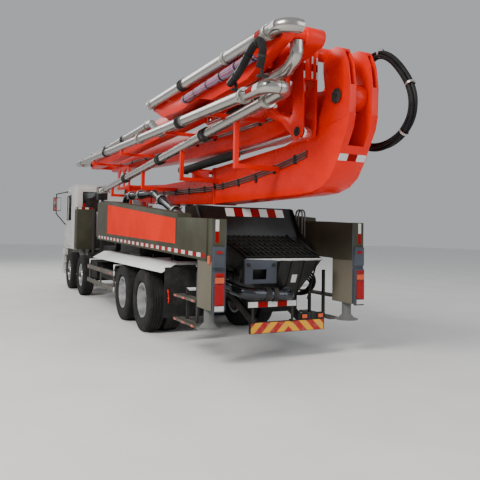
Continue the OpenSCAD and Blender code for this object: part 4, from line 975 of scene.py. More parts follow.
@dataclass
class WheelNuts:
    """Wheel nuts with washers, and the hub cap with its bolts, on one wheel set.

    A nut is a row of bars (start, end, radius, sides); the cap is a profile (radius, height). A rim says on what
    radius the nuts sit, and how far out the nuts and the cap do.
    """

    wheel: Wheel
    count: int = 10
    nut: tuple[tuple[float, float, float, int], ...] = (
        (0.0, 0.014, 0.021, 16), (0.013, 0.036, 0.016, 6), (0.035, 0.046, 0.01, 10))
    cap: Pairs = (
        (0.0, 0.0), (0.078, 0.0), (0.078, 0.006), (0.062, 0.01), (0.056, 0.024), (0.04, 0.032), (0.0, 0.034))
    twin_rim: Point = (0.172, -0.097, 0.019)
    single_rim: Point = (0.166, 0.07, 0.132)
    cap_bolts: int = 8
    cap_ring: float = 0.07
    bolt: float = 0.006

    def build(self) -> None:
        """Makes the nuts and the hub cap."""
        wheel, out = self.wheel, LEFT * self.wheel.side
        ring, seat, face = self.twin_rim if wheel.twin else self.single_rim
        nuts = Shape()
        for i in range(self.count):
            spot = wheel.centre(seat) + around((i + 0.5) / self.count, ring)
            for start, end, radius, sides in self.nut:
                nuts.bar(spot + out * start, spot + out * end, radius, sides)
        nuts.done(f"{wheel.body}_nuts", Look.ZINC, wheel.body, *FINE)
        cap = Shape()
        centre = wheel.centre(face)
        cap.lathe(self.cap, centre, out, closed=False)
        for i in range(self.cap_bolts):
            spot = centre + around(i / self.cap_bolts, self.cap_ring) + out * (self.bolt - 0.001)
            cap.bar(spot, spot + out * self.bolt, self.bolt, 6)
        cap.done(f"{wheel.body}_hub_cap", Look.HUB, wheel.body, *FINE)


@dataclass
class Clamps:
    """Split couplings with bolt ears and levers, and rubber collars in pairs, on a straight pipe.

    Both stand at shares of the pipe's length; ears and levers are turned by degrees from the top.
    """

    name: str
    body: str
    start: Vector
    end: Vector
    shares: Row
    rubber: Row
    radius: float = 0.091
    ears: tuple[float, float] = (55.0, 235.0)
    lever: float = 62.0
    steps: int = 36
    pair: float = 0.115
    ear_rise: float = 0.034
    ear_half: float = 0.024
    ear_thick: float = 0.008
    bolt_rise: float = 0.02
    bolt_half: float = 0.022
    bolt_step: float = 0.012
    collar_band: Point = (0.032, 0.01, 0.006)
    coupling_band: Point = (0.03, 0.008, 0.004)

    @property
    def way(self) -> Vector:
        """Unit vector along the pipe."""
        return (self.end - self.start).normalized()

    def collars(self) -> None:
        """Makes the black rubber collars, in pairs."""
        rings = Shape()
        outer = self.radius + 0.008
        for share in self.rubber:
            centre = self.start.lerp(self.end, share)
            for shift, inner in ((0.0, self.radius - 0.003), (self.pair, self.radius - 0.02)):
                rings.lathe(grooved_band(inner, outer, *self.collar_band), centre + self.way * shift, self.way,
                            self.steps)
        rings.done(f"{self.name}_collars", Look.TRIM, self.body, 0.0015, 1)

    def couplings(self) -> None:
        """Makes all couplings of this pipe as one piece, and their bolts as another."""
        bands, bolts = Shape(), Shape()
        outer = self.radius + 0.01
        for share in self.shares:
            centre = self.start.lerp(self.end, share)
            bands.lathe(grooved_band(self.radius - 0.003, outer, *self.coupling_band), centre, self.way, self.steps)
            frame = along(self.way, centre)
            for turn in self.ears:
                ear = frame @ Matrix.Rotation(math.radians(turn), 4, "Z")
                for shift in (-0.013, 0.005):
                    bands.turned_block(ear, (outer - 0.01, shift, -self.ear_half),
                                       (outer + self.ear_rise, shift + self.ear_thick, self.ear_half))
                for step in (-self.bolt_step, self.bolt_step):
                    head, neck, end = (ear @ Vector((outer + self.bolt_rise, y, step))
                                       for y in (-self.bolt_half, -self.bolt_half + 0.008, self.bolt_half))
                    bolts.bar(head, end, 0.0055, 10)
                    bolts.bar(head, neck, 0.01, 6)
            lever = frame @ Matrix.Rotation(math.radians(self.lever), 4, "Z")
            bands.turned_block(lever, (outer - 0.002, -0.006, 0.014), (outer + 0.01, 0.11, 0.026))
        bands.done(f"{self.name}_couplings", Look.ZINC, self.body, 0.0015, 1)
        bolts.done(f"{self.name}_coupling_bolts", Look.CHROME, self.body, 0.0008, 1)

    def build(self) -> None:
        """Makes what this pipe has of both."""
        if self.rubber:
            self.collars()
        if self.shares:
            self.couplings()


@dataclass
class Patch:
    """Blank reflective patch wrapped part of the way round a pipe."""

    name: str
    body: str
    look: Look
    place: Point
    length: float = 0.12
    radius: float = 0.0757
    start: float = -110.0
    sweep: float = 62.0
    steps: int = 10
    thick: float = 0.0012

    def build(self) -> None:
        """Makes the patch."""
        shape = Shape()
        centre = at(*self.place)
        arm = Matrix.Rotation(math.radians(self.start), 3, AHEAD) @ (UP * self.radius)
        ends = [shape.mesh.verts.new(centre + arm + AHEAD * shift) for shift in (0.0, self.length)]
        edge = shape.mesh.edges.new(ends)
        bmesh.ops.spin(shape.mesh, geom=[*ends, edge], cent=centre, axis=AHEAD, angle=math.radians(self.sweep),
                       steps=self.steps)
        bmesh.ops.recalc_face_normals(shape.mesh, faces=shape.mesh.faces)
        bmesh.ops.solidify(shape.mesh, geom=shape.mesh.faces[:], thickness=-self.thick)
        shape.done(f"patch_{self.name}", self.look, self.body, 0.0)


@dataclass
class PinCap:
    """Keeper plate with bolts over the end of a pin; its profile is in shares of its radius."""

    name: str
    body: str
    place: Point
    way: int
    radius: float
    bolts: int = 6
    bolt_ring: float = 0.7
    profile: Pairs = (
        (0.0, 0.0), (1.0, 0.0), (1.0, 0.007), (0.93, 0.01), (0.35, 0.01), (0.3, 0.004), (0.0, 0.004))

    def build(self) -> None:
        """Makes the plate, its bolts and its grease nipple."""
        out, centre = LEFT * self.way, at(*self.place)
        plate = Shape()
        plate.lathe([(share * self.radius, rise) for share, rise in self.profile], centre, out, 36, closed=False)
        for i in range(self.bolts):
            spot = centre + around((i + 0.5) / self.bolts, self.radius * self.bolt_ring) + out * 0.009
            plate.bar(spot, spot + out * 0.009, self.radius * 0.13, 6)
        nipple = centre + out * 0.003
        plate.bar(nipple, nipple + out * 0.014, self.radius * 0.1, 10)
        plate.done(f"{self.name}_pin_cap", Look.PIN, self.body, *FINE)


@dataclass
class TapeRow:
    """Row of reflective squares, red and white in turn."""

    name: str
    body: str
    start: Vector
    end: Vector
    up: Vector
    out: Vector
    count: int
    first_red: bool = True
    gap: float = 0.002
    thick: float = 0.0014

    def build(self) -> None:
        """Makes the red squares as one piece and the white ones as another."""
        way = (self.end - self.start) / self.count
        trim = way.normalized() * self.gap
        for tag, look, first in (("red", Look.TAPE_RED, 0), ("white", Look.TAPE_WHITE, 1)):
            squares = Shape()
            for i in range(first if self.first_red else 1 - first, self.count, 2):
                near, far = self.start + way * i + trim, self.start + way * (i + 1) - trim
                squares.sheet([near, far, far + self.up, near + self.up], self.out.normalized() * self.thick)
            squares.done(f"{self.name}_{tag}", look, self.body, 0.0004, 1)


@dataclass
class SwingArm:
    """Painted panel, tapes and lamps of one rear leg.

    Its lower and upper edges are given by a station, the height there and the slope, and a lamp row is
    (low, high, finish).
    """

    side: int
    out_y: float = 1.22
    lens_back: float = -3.156
    panel_ends: tuple[float, float] = (2.75, -1.8)
    panel_foot: float = 0.16
    panel_crown: float = 0.075
    strip_ends: tuple[float, float] = (-2.93, 3.6)
    strip_rise: float = 0.035
    strip_width: float = 0.055
    strip_count: int = 44
    post_tape: Box = ((-3.11, 1.155, 1.62), (-3.11, 1.155, 1.92))
    lens_ys: tuple[float, float] = (1.046, 1.174)
    lens_depth: float = 0.016
    marker: Box = ((-3.154, 1.068, 1.484), (-3.14, 1.152, 1.518))
    side_marker: Box = ((-3.07, 1.199, 1.345), (-2.99, 1.214, 1.455))
    foot: Point = (-2.97, 1.39, 0.02507)
    crown: Point = (-1.84, 2.03, 0.4 / 4.74)
    rows: tuple[tuple[float, float, Look], ...] = (
        (0.757, 0.828, Look.LENS_CLEAR), (0.832, 1.102, Look.LENS_RED), (1.106, 1.19, Look.LENS_AMBER),
        (1.194, 1.243, Look.LENS_RED))

    @property
    def name(self) -> str:
        """Name of the leg, which is its body's too."""
        return "arm_l" if self.side > 0 else "arm_r"

    @staticmethod
    def height(edge: Point, x: float) -> float:
        """Height of an edge of the leg at a station."""
        return edge[1] + (x - edge[0]) * edge[2]

    def build(self) -> None:
        """Makes everything on the leg."""
        face, out = self.side * self.out_y, LEFT * self.side
        front, rear = self.panel_ends
        corners = [at(front, face, self.height(self.foot, front) + self.panel_foot),
                   at(front, face, self.height(self.crown, front) - self.panel_crown),
                   at(rear, face, self.height(self.crown, rear) - self.panel_crown),
                   at(rear, face, self.height(self.foot, rear) + self.panel_foot)]
        film = out * 0.003
        Shape().sheet(corners, film).done(f"{self.name}_panel", Look.PANEL, self.name, 0.0015)
        hose(f"{self.name}_panel_rim", [corner + film for corner in corners], 0.006, Look.ARM, self.name,
             closed=True, straight=True)
        ends = (at(x, face, self.height(self.foot, x) + self.strip_rise) for x in self.strip_ends)
        TapeRow(f"{self.name}_strip", self.name, *ends, UP * self.strip_width, out, self.strip_count).build()
        self.lamps()
        ends = (at(x, self.side * y, z) for x, y, z in self.post_tape)
        TapeRow(f"{self.name}_post", self.name, *ends, out * -0.05, BACK, 2).build()

    def lamps(self) -> None:
        """Makes the rear lamp lenses and the markers."""
        back, (y0, y1) = self.lens_back, self.lens_ys
        for i, (low, high, look) in enumerate(self.rows):
            lens = Shape().mirrored(self.side, (back - self.lens_depth, y0, low + 0.003), (back, y1, high - 0.003))
            lens.done(f"{self.name}_lens_{i}", look, self.name, 0.006, 3)
        marker = Shape().mirrored(self.side, *self.marker)
        marker.done(f"{self.name}_marker", Look.LENS_RED, self.name, 0.013, 4)
        side_marker = Shape().mirrored(self.side, *self.side_marker)
        side_marker.done(f"{self.name}_side_marker", Look.LENS_AMBER, self.name, 0.004, 3)


@dataclass
class FrontLeg:
    """Tapes and beacon of one front leg box."""

    side: int
    rear_x: float = 6.585
    side_y: float = 1.22
    strip_z: float = 2.37
    width: float = 0.05
    beacon: Point = (6.8, 1.0, 2.4525)
    dome: Pairs = (
        (0.0475, 0.0), (0.05, 0.0), (0.05, 0.07), (0.046, 0.086), (0.03, 0.096), (0.0, 0.099), (0.0, 0.0965),
        (0.0475, 0.0965))

    def build(self) -> None:
        """Makes them."""
        body = "beam_fl" if self.side > 0 else "beam_fr"
        rear = (at(self.rear_x, self.side * y, self.strip_z) for y in (0.8, 1.2))
        TapeRow(f"{body}_strip", body, *rear, UP * self.width, BACK, 4).build()
        flank = (at(x, self.side * self.side_y, self.strip_z) for x in (6.6, 7.00))
        TapeRow(f"{body}_side_strip", body, *flank, UP * self.width, LEFT * self.side, 4).build()
        x, y, z = self.beacon
        dome = Shape().lathe(self.dome, at(x, self.side * y, z), UP)
        dome.done(f"{body}_beacon", Look.LENS_RED, body, 0.0)


@dataclass
class Nose:
    """Reflectors and pin caps on the folded boom: (name, body, place on the left, radius) of each cap."""

    strip: Point = (-4.3655, 0.192, 2.61)
    strip_width: float = 0.085
    slope: Point = (-0.482, 0.0, 0.876)
    horns: tuple[tuple[str, float, float], ...] = (
        ("out", -4.0205, 0.433), ("mid", -4.035, 0.33), ("in", -4.0205, 0.253))
    horn_ends: tuple[float, float] = (3.615, 3.885)
    horn_half: float = 0.0105
    pairs: tuple[tuple[str, str, Point, float], ...] = (
        ("tail", "boom_1", (-4.37, 0.22, 3.35), 0.088), ("root", "turret", (5.0, 0.25, 2.8), 0.098),
        ("luff", "turret", (4.6, 0.19, 1.64), 0.06), ("fold", "boom_1", (0.3, 0.43, 2.93), 0.055),
        ("horn_low", "boom_2", (-3.89, 0.446, 2.99), 0.06), ("horn_top", "boom_2", (-3.91, 0.446, 3.97), 0.07))
    singles: tuple[tuple[str, str, Point, int, float], ...] = (
        ("head", "boom_2", (7.2, 0.745, 3.72), 1, 0.062), ("head_r", "boom_2", (7.2, -0.104, 3.72), -1, 0.09),
        ("upper_tail", "boom_3", (-4.45, 1.037, 3.93), 1, 0.06), ("tip_root", "boom_4", (0.0, 1.035, 4.0), 1, 0.06))

    def build(self) -> None:
        """Makes them."""
        up, out = Vector(self.slope), Vector((-self.slope[2], 0.0, self.slope[0]))
        x, y, z = self.strip
        ends = (at(x, side * y, z) + out * 0.0012 for _, side in SIDES)
        TapeRow("nose_strip", "boom_1", *ends, up * self.strip_width, out, 3, first_red=False).build()
        for tag, side in SIDES:
            for name, x, y in self.horns:
                ends = (at(x, side * y + self.horn_half, z) for z in self.horn_ends)
                TapeRow(f"horn_{name}_{tag}", "boom_2", *ends, LEFT * (-2 * self.horn_half), BACK, 3,
                        first_red=False).build()
        for name, body, (x, y, z), radius in self.pairs:
            for tag, side in SIDES:
                PinCap(f"{name}_{tag}", body, (x, side * y, z), side, radius).build()
        for single in self.singles:
            PinCap(*single).build()


@dataclass
class Sleeve:
    """Patterned wrap round the cylinder of the last joint, tied with bands."""

    start: Point = (-4.09, 1.1, 3.785)
    end: Point = (-1.745, 1.1, 3.757)
    radius: float = 0.0595
    waves: int = 24
    ripple: float = 0.0035
    ripple_turn: float = 2.4
    sides: int = 28
    bands: Row = (0.03, 0.22, 0.41, 0.6, 0.79, 0.97)

    def build(self) -> None:
        """Makes the wrap and its bands."""
        start, end = at(*self.start), at(*self.end)
        length, way = (end - start).length, (end - start).normalized()
        skin = [(self.radius + self.ripple * math.sin(i * self.ripple_turn), i / self.waves * length)
                for i in range(self.waves + 1)]
        wrap = Shape().lathe([(0.0, 0.0), *skin, (0.0, length)], start, way, self.sides, closed=False)
        wrap.done("cylinder_wrap", Look.WRAP, "boom_4", 0.0)
        bands = Shape()
        for share in self.bands:
            bands.lathe(band(self.radius, self.radius + 0.006, 0.012), start.lerp(end, share), way, self.sides)
        bands.done("cylinder_wrap_bands", Look.TRIM, "boom_4", *FINE)


@dataclass
class SheathedLoop:
    """Thick black sheathed loop of hoses between the upper pipes, bound with bands."""

    radius: float = 0.046
    bound: tuple[int, ...] = (1, 3, 5, 7)
    saddles: Row = (-4.42, -3.78)
    route: tuple[Point, ...] = (
        (-4.46, 1.272, 3.5), (-4.53, 1.276, 3.61), (-4.54, 1.282, 3.72), (-4.47, 1.288, 3.79), (-4.36, 1.288, 3.78),
        (-4.22, 1.284, 3.71), (-4.06, 1.278, 3.62), (-3.9, 1.272, 3.55), (-3.72, 1.272, 3.5))

    def build(self) -> None:
        """Makes the loop, its bands and the saddles that hold its ends to the pipe."""
        points = [at(*place) for place in self.route]
        hose("sheathed_loop", points, self.radius, Look.HOSE, "boom_2")
        bands = Shape()
        for i in self.bound:
            ahead = (points[i + 1] - points[i - 1]).normalized()
            spot = (points[i - 1] + points[i] * 2 + points[i + 1]) / 4
            bands.lathe(band(self.radius - 0.004, self.radius + 0.004, 0.012), spot, ahead, 24)
        bands.done("sheathed_loop_bands", Look.TRIM, "boom_2", *FINE)
        saddles = Shape()
        for x in self.saddles:
            saddles.mirrored(1, (x - 0.03, 1.15, 3.415), (x + 0.03, 1.285, 3.432))
            saddles.mirrored(1, (x - 0.03, 1.215, 3.428), (x + 0.03, 1.23, 3.505))
        saddles.done("sheathed_loop_saddles", Look.TRIM, "boom_2")


@dataclass
class TailHoses:
    """Bundle of hoses round the boom's tail, which stands for the CAD hose, with ties.

    The route is (x, z) along the bundle, and ties sit at points of it.
    """

    count: int = 5
    spread: float = 0.035
    radius: float = 0.021
    twist: float = 0.25
    y: float = -0.53
    ties: tuple[int, ...] = (1, 4, 7, 10, 13, 15)
    route: Pairs = (
        (-3.56, 3.42), (-3.7, 3.56), (-3.85, 3.8), (-4.05, 3.98), (-4.25, 4.000), (-4.45, 3.88),
        (-4.62, 3.7), (-4.76, 3.5), (-4.82, 3.3), (-4.79, 3.11), (-4.66, 2.96), (-4.46, 2.86),
        (-4.24, 2.83), (-4.000, 2.87), (-3.78, 2.97), (-3.6, 3.12), (-3.5, 3.26))

    def build(self) -> None:
        """Makes the hoses and ties."""
        centres = [at(x, self.y, z) for x, z in self.route]
        last = len(centres) - 1
        for strand in range(self.count):
            points = []
            for i, centre in enumerate(centres):
                ahead = (centres[min(i + 1, last)] - centres[max(i - 1, 0)]).normalized()
                side = ahead.cross(LEFT).normalized()
                turn = strand / self.count * math.tau + i * self.twist
                points.append(centre + (side * math.cos(turn) + LEFT * math.sin(turn)) * self.spread)
            hose(f"tail_hose_{strand}", points, self.radius, Look.HOSE, "boom_2")
        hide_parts("boom_hoses")
        ties = Shape()
        for i in self.ties:
            ahead = (centres[i + 1] - centres[i - 1]).normalized()
            ties.lathe(band(0.0555, 0.0595, 0.014), centres[i], ahead, 28)
        ties.done("tail_hose_ties", Look.ZINC, "boom_2", *FINE)


@dataclass(frozen=True)
class LineRun:
    """Parallel steel hydraulic lines along a section, with their clips; its course is (x, z) of the lowest."""

    name: str
    body: str
    y: float
    course: Pairs
    count: int
    clips: int
    pitch: float = 0.034
    radius: float = 0.011
    clip_half: float = 0.022
    clip_rise: float = 0.024
    bolt_rise: float = 0.016

    def build(self) -> None:
        """Makes the lines and the clips."""
        course = [at(x, self.y, z) for x, z in self.course]
        for i in range(self.count):
            lifted = [point + UP * (self.pitch * i) for point in course]
            hose(f"{self.name}_{i}", lifted, self.radius, Look.LINE, self.body)
        side = 1.0 if self.y > 0 else -1.0
        height = self.pitch * (self.count - 1)
        holders = Shape()
        for i in range(self.clips):
            share = (i + 0.5) / self.clips * (len(course) - 1)
            leg = int(share)
            spot = course[leg].lerp(course[leg + 1], share - leg)
            y0, y1 = sorted((spot.y - side * 0.014, spot.y + side * 0.015))
            holders.block(Vector((spot.x - self.clip_half, y0, spot.z - self.clip_rise)),
                          Vector((spot.x + self.clip_half, y1, spot.z + height + self.clip_rise)))
            for rise in (-self.bolt_rise, height + self.bolt_rise):
                bolt = spot + UP * rise
                holders.bar(bolt, bolt + LEFT * (side * 0.021), 0.006, 6)
        holders.done(f"{self.name}_clips", Look.TRIM, self.body)


@dataclass(frozen=True)
class Line:
    """One hose or bent bar through points set out from the last axle."""

    name: str
    body: str
    radius: float
    points: tuple[Point, ...]
    look: Look = Look.HOSE

    def build(self) -> None:
        """Makes it."""
        hose(self.name, [at(*point) for point in self.points], self.radius, self.look, self.body)


@dataclass
class Tail:
    """Hazard board, tapes, blank sticker, hoses and handle round the hopper."""

    board: Box = ((-2.9035, -0.655, 0.396), (-2.9005, 0.52, 0.538))
    splash_foot: tuple[float, float] = (-1.8955, 1.715)
    splash_slope: Point = (0.265, 0.0, 0.47)
    splash_out: Point = (-0.87, 0.0, 0.49)
    splash_ys: tuple[float, float] = (0.368, -0.68)
    splash_rise: float = 0.345
    splash_width: float = 0.15
    bend_bar: Box = ((-2.925, -0.19, 0.745), (-2.917, 0.59, 0.835))
    bar_feet: Row = (-0.12, 0.5)
    bend_tape: Box = ((-2.925, 0.58, 0.752), (-2.925, -0.18, 0.752))
    bend_width: float = 0.074
    lamps: Row = (-0.6, -0.33)
    wall_slope: float = 0.403
    sticker: Point = (-2.7662, -0.175, 1.06)
    sticker_size: tuple[float, float] = (0.085, 0.115)
    handle: tuple[Bar, ...] = (
        ((-1.301, 1.15, 0.72), (-1.345, 1.15, 0.72), 0.014, 16, 1.0),
        ((-1.34, 1.15, 0.72), (-1.345, 1.165, 0.82), 0.009, 14, 1.0),
        ((-1.345, 1.163, 0.81), (-1.346, 1.17, 0.86), 0.016, 18, 0.8),
        ((-1.34, 1.15, 0.72), (-1.345, 1.16, 0.65), 0.009, 14, 1.0))
    hose_radius: float = 0.017
    hose_shifts: Row = (0.0, 0.045, 0.09, 0.135)
    left_shifts: Row = (0.0, 0.05)
    fitting_zs: Row = (1.1, 1.15, 1.2)
    hoop_ys: Row = (-0.895, -0.945)
    hoop: Pairs = (
        (-1.93, 1.45), (-1.93, 2.00), (-1.93, 2.12), (-1.84, 2.16), (-1.74, 2.12), (-1.74, 2.00), (-1.74, 1.45))

    def build(self) -> None:
        """Makes them."""
        Shape().mirrored(1, *self.board).done("hazard_board", Look.CHEVRON, "truck", *FINE)
        rise = Vector(self.splash_slope).normalized()
        x, z = self.splash_foot
        ends = (at(x, y, z) + rise * self.splash_rise for y in self.splash_ys)
        TapeRow("splash_strip", "truck", *ends, rise * self.splash_width, Vector(self.splash_out), 7,
                first_red=False).build()
        bar = Shape().mirrored(1, *self.bend_bar)
        for y in self.bar_feet:
            bar.mirrored(1, (-2.918, y - 0.02, 0.56), (-2.91, y + 0.02, 0.83))
            bar.mirrored(1, (-2.918, y - 0.02, 0.53), (-2.862, y + 0.02, 0.562))
        bar.done("under_bend_bar", Look.FRAME, "truck")
        ends = (at(*end) for end in self.bend_tape)
        TapeRow("bend_strip", "truck", *ends, UP * self.bend_width, BACK, 5, first_red=False).build()
        for i, y in enumerate(self.lamps):
            lens = Shape().mirrored(1, (-2.918, y - 0.04, 0.566), (-2.907, y + 0.04, 0.619))
            lens.done(f"tail_lamp_{i}", Look.LENS_AMBER, "truck", 0.004, 3)
        self.label()
        self.hoses()
        Shape().bars(self.handle).done("valve_handle", Look.BOOM, "truck")
        for i, y in enumerate(self.hoop_ys):
            Line(f"rail_loop_{i}", "truck", 0.014, tuple((x, y, z) for x, z in self.hoop), Look.LINE).build()

    def label(self) -> None:
        """Makes the blank sticker on the sloping rear wall of the hopper."""
        width, height = self.sticker_size
        out = Vector((-1.0, 0.0, -self.wall_slope)).normalized()
        low = at(*self.sticker) + out * 0.0003
        across, fall = LEFT * -width, Vector((-self.wall_slope, 0.0, 1.0)) * height
        sticker = Shape().sheet([low, low + across, low + across + fall, low + fall], out * 0.001)
        sticker.done("blank_sticker", Look.SIGN, "truck", 0.0003, 1)

    def hoses(self) -> None:
        """Makes the hydraulic hoses of the agitator and the swing tube on the right, and a few on the left."""
        for i, shift in enumerate(self.hose_shifts):
            half = shift * 0.5
            Line(f"agitator_hose_{i}", "truck", self.hose_radius, (
                (-2.35 + half, -0.625, 1.18 - half), (-2.46 + shift, -0.76, 1.2 - shift),
                (-2.5 + shift, -0.8, 0.98), (-2.3 + shift, -0.72, 0.8),
                (-2.02 + half, -0.52, 0.84 + half), (-1.96, -0.44, 0.9 + shift))).build()
        for i, shift in enumerate(self.left_shifts):
            Line(f"agitator_hose_l_{i}", "truck", self.hose_radius, (
                (-2.35, 0.625, 1.16 + shift), (-2.42, 0.74 + shift, 1.18), (-2.36, 0.8, 0.96),
                (-2.12, 0.66, 0.84), (-1.96, 0.44, 0.9 + shift))).build()
        ends = Shape()
        for side in (-1, 1):
            for z in self.fitting_zs:
                ends.bar(at(-2.35, side * 0.612, z), at(-2.35, side * 0.652, z), 0.021, 6)
        ends.done("agitator_fittings", Look.ZINC, "truck")


@dataclass
class Steps:
    """Amber reflectors on the steps, and markers and bolts along the side guards."""

    step_xs: Row = (-2.45, -2.1, -1.76)
    step_zs: Row = (0.472, 0.817)
    marker_xs: Row = (2.4, 3.6, 4.8)
    bolt_xs: Row = (2.27, 3.575, 4.88)
    bolt_zs: Row = (0.515, 0.85)
    half: float = 0.045

    def build(self) -> None:
        """Makes them on both sides."""
        for tag, side in SIDES:
            lens, bolts = Shape(), Shape()
            for z in self.step_zs:
                for x in self.step_xs:
                    lens.mirrored(side, (x - self.half, 1.1895, z - 0.014), (x + self.half, 1.198, z + 0.014))
            for x in self.marker_xs:
                lens.mirrored(side, (x - self.half, 1.1995, 0.835), (x + self.half, 1.209, 0.865))
            lens.done(f"side_reflectors_{tag}", Look.LENS_AMBER, "truck", 0.003)
            for x in self.bolt_xs:
                for z in self.bolt_zs:
                    for shift in (-0.012, 0.012):
                        bolts.bar(at(x + shift, side * 1.199, z), at(x + shift, side * 1.207, z), 0.008, 6)
            bolts.done(f"guard_bolts_{tag}", Look.ZINC, "truck", *FINE)


@dataclass
class Cab:
    """Lamps, seals, wipers, mirror glass and blank plate of the cab; windows are outlines in its walls."""

    front: float = 9.3
    back: float = 7.05
    lamp_front: float = 0.0448
    lamp_z: float = 0.66
    lamp_ys: Row = (0.795, 0.965)
    lamp: Pairs = ((0.0, 0.0), (0.066, 0.0), (0.068, 0.004), (0.052, 0.01), (0.0, 0.0145))
    lamp_rim: Pairs = ((0.064, 0.0), (0.076, 0.0), (0.076, 0.01), (0.066, 0.012))
    door_window: Pairs = ((8.08, 2.082), (8.08, 2.858), (8.838, 2.858), (8.883, 2.082))
    rear_window: Pairs = ((0.532, 2.332), (0.988, 2.332), (0.988, 2.898), (0.532, 2.898))
    roof_lamps: Row = (-0.8, -0.4, 0.0, 0.4, 0.8)
    wipers: tuple[tuple[str, float], ...] = (("l", 0.55), ("r", -0.25))
    wiper: tuple[Bar, ...] = (((9.258, 0.0, 2.07), (9.236, 0.0, 2.1), 0.016, 16, 1.0),
                              ((9.24, 0.0, 2.1), (9.15, -0.34, 2.37), 0.007, 10, 0.7),
                              ((9.195, -0.1, 2.235), (9.108, -0.52, 2.495), 0.006, 10, 1.0))
    mirror: Box = ((9.1225, 1.33, 2.4), (9.1255, 1.54, 2.8))
    plate: Box = ((9.36, -0.26, 0.5), (9.364, 0.26, 0.612))

    def build(self) -> None:
        """Makes them."""
        for tag, side in SIDES:
            self.headlamps(tag, side)
            glass = Shape().mirrored(side, *self.mirror)
            glass.done(f"mirror_glass_{tag}", Look.MIRROR, "truck", *FINE)
            door = f"door_{tag}"
            hose(f"{door}_seal", [at(x, side * 1.15, z) for x, z in self.door_window], 0.01, Look.TRIM, door,
                 closed=True, straight=True)
            hose(f"rear_seal_{tag}", [at(self.back, side * y, z) for y, z in self.rear_window], 0.012, Look.TRIM,
                 "truck", closed=True, straight=True)
        lights = Shape()
        for y in self.roof_lamps:
            lights.mirrored(1, (self.front - 0.706, y - 0.041, 3.124), (self.front - 0.636, y + 0.041, 3.16))
        lights.done("roof_lamps", Look.LENS_AMBER, "truck", 0.01, 3)
        Shape().mirrored(1, *self.plate).done("front_plate", Look.SIGN, "truck")
        for tag, y in self.wipers:
            Shape().bars(self.wiper, y).done(f"wiper_{tag}", Look.TRIM, "truck", *FINE)

    def headlamps(self, tag: str, side: int) -> None:
        """Makes the two headlamps of one side with their rims.

        Args:
            tag: letter of the side.
            side: 1 on the left, -1 on the right.
        """
        for i, y in enumerate(self.lamp_ys):
            centre = at(self.front + self.lamp_front, side * y, self.lamp_z)
            lamp = Shape().lathe(self.lamp, centre, AHEAD, 36, closed=False)
            lamp.done(f"headlamp_{tag}_{i}", Look.LENS_CLEAR, "truck", 0.0)
            rim = Shape().lathe(self.lamp_rim, centre, AHEAD, 36)
            rim.done(f"headlamp_rim_{tag}_{i}", Look.CHROME, "truck", *FINE)


AXLES = ((1, 7.85, False), (2, 5.94, False), (3, 1.38, True), (4, 0.0, True))

PIPE_CLAMPS = (
    Clamps("pipe_1", "boom_1", at(5.0, 0.86, 2.8), at(-4.37, 0.86, 3.35), (0.04, 0.95), (0.25, 0.51, 0.74)),
    Clamps("pipe_2", "boom_2", at(-4.37, 1.12, 3.35), at(7.2, 1.12, 3.72), (0.05, 0.43, 0.94), (0.23, 0.67)),
    Clamps("pipe_3", "boom_3", at(0.75, 0.86, 3.85), at(6.5, 0.86, 3.85), (0.94,), (0.35, 0.65),
           ears=(-50.0, -130.0), lever=-62.0),
    Clamps("pipe_4", "boom_4", at(-4.685, 1.12, 3.93), at(0.0, 1.12, 4.02), (0.07, 0.3, 0.97), (0.62,), 0.082),
    Clamps("feed_low", "truck", at(-2.96, -0.1, 0.9), at(-2.9, 0.66, 0.95), (), (0.37,)),
    Clamps("feed_rise", "truck", at(-0.73, 0.75, 2.02), at(0.83, 0.75, 2.5), (0.2, 0.7), ()),
    Clamps("feed_top", "truck", at(0.83, 0.75, 2.5), at(2.9, 0.75, 2.56), (0.45, 0.8), ()),
)

PATCHES = (
    Patch("b_red", "boom_2", Look.TAPE_RED, (-4.14, 1.12, 3.3573), 0.17),
    Patch("b_white", "boom_2", Look.TAPE_WHITE, (-4.25, 1.12, 3.354)),
    Patch("a_red", "boom_4", Look.TAPE_RED, (-4.33, 1.12, 3.9368), 0.16),
    Patch("a_white", "boom_4", Look.TAPE_WHITE, (-4.6, 1.12, 3.932), 0.1),
)

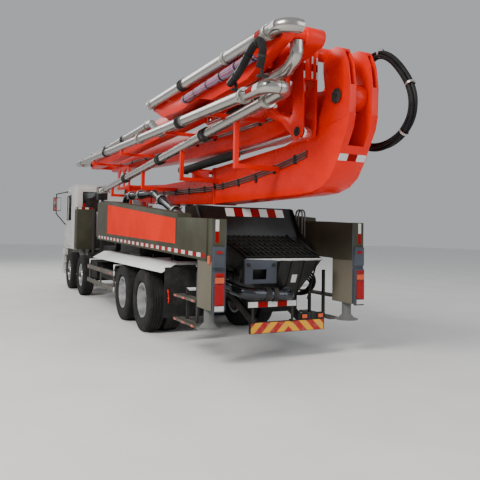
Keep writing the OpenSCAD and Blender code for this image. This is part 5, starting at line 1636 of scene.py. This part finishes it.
LINE_RUNS = (
    LineRun("box_lines", "boom_1", 0.163, ((4.3, 2.62), (2.0, 2.56), (-0.7, 2.49)), 3, 7),
    LineRun("nose_lines", "boom_1", 0.213, ((-0.95, 2.49), (-2.4, 2.52), (-3.75, 2.72)), 3, 5),
    LineRun("upper_lines", "boom_2", 0.203, ((-2.9, 3.34), (0.8, 3.38), (6.4, 3.62)), 2, 9),
    LineRun("box_lines_r", "boom_1", -0.163, ((4.3, 2.62), (2.0, 2.56), (-0.7, 2.49)), 2, 7),
)

JOINT_HOSES = (
    Line("loop_a", "boom_1", 0.016, ((-0.7, 0.163, 2.524), (-0.79, 0.19, 2.6), (-0.86, 0.232, 2.6),
                                     (-0.95, 0.213, 2.524))),
    Line("loop_b", "boom_1", 0.016, ((-0.7, 0.163, 2.49), (-0.8, 0.2, 2.54), (-0.88, 0.236, 2.54),
                                     (-0.95, 0.213, 2.49))),
    Line("loop_c", "boom_3", 0.022, ((-2.3, 0.6, 4.00), (-2.9, 0.62, 4.05), (-3.4, 0.66, 4.06), (-3.9, 0.63, 4.03),
                                     (-4.2, 0.6, 4.00))),
    Line("loop_d", "boom_3", 0.022, ((-2.2, 0.64, 4.00), (-2.9, 0.67, 4.05), (-3.45, 0.69, 4.055),
                                     (-3.9, 0.67, 4.03), (-4.25, 0.65, 4.0))),
)


def main() -> None:
    """Builds the scene, piece by piece."""
    logging.basicConfig(level=logging.INFO, format="%(message)s")
    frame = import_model()
    Camera().build()
    Studio().build()
    Dressing(frame["nodes"]).build()
    for number, x, twin in AXLES:
        for tag, side in SIDES:
            wheel = Wheel(f"{number}{tag}", x, side, twin)
            Tyre(wheel).build()
            WheelNuts(wheel).build()
    for clamps in PIPE_CLAMPS:
        clamps.build()
    for _, side in SIDES:
        SwingArm(side).build()
        FrontLeg(side).build()
    for assembly in (*PATCHES, Nose(), Sleeve(), SheathedLoop(), TailHoses(), *LINE_RUNS, *JOINT_HOSES, Tail(),
                     Steps(), Cab()):
        assembly.build()


if __name__ == "__main__":
    main()
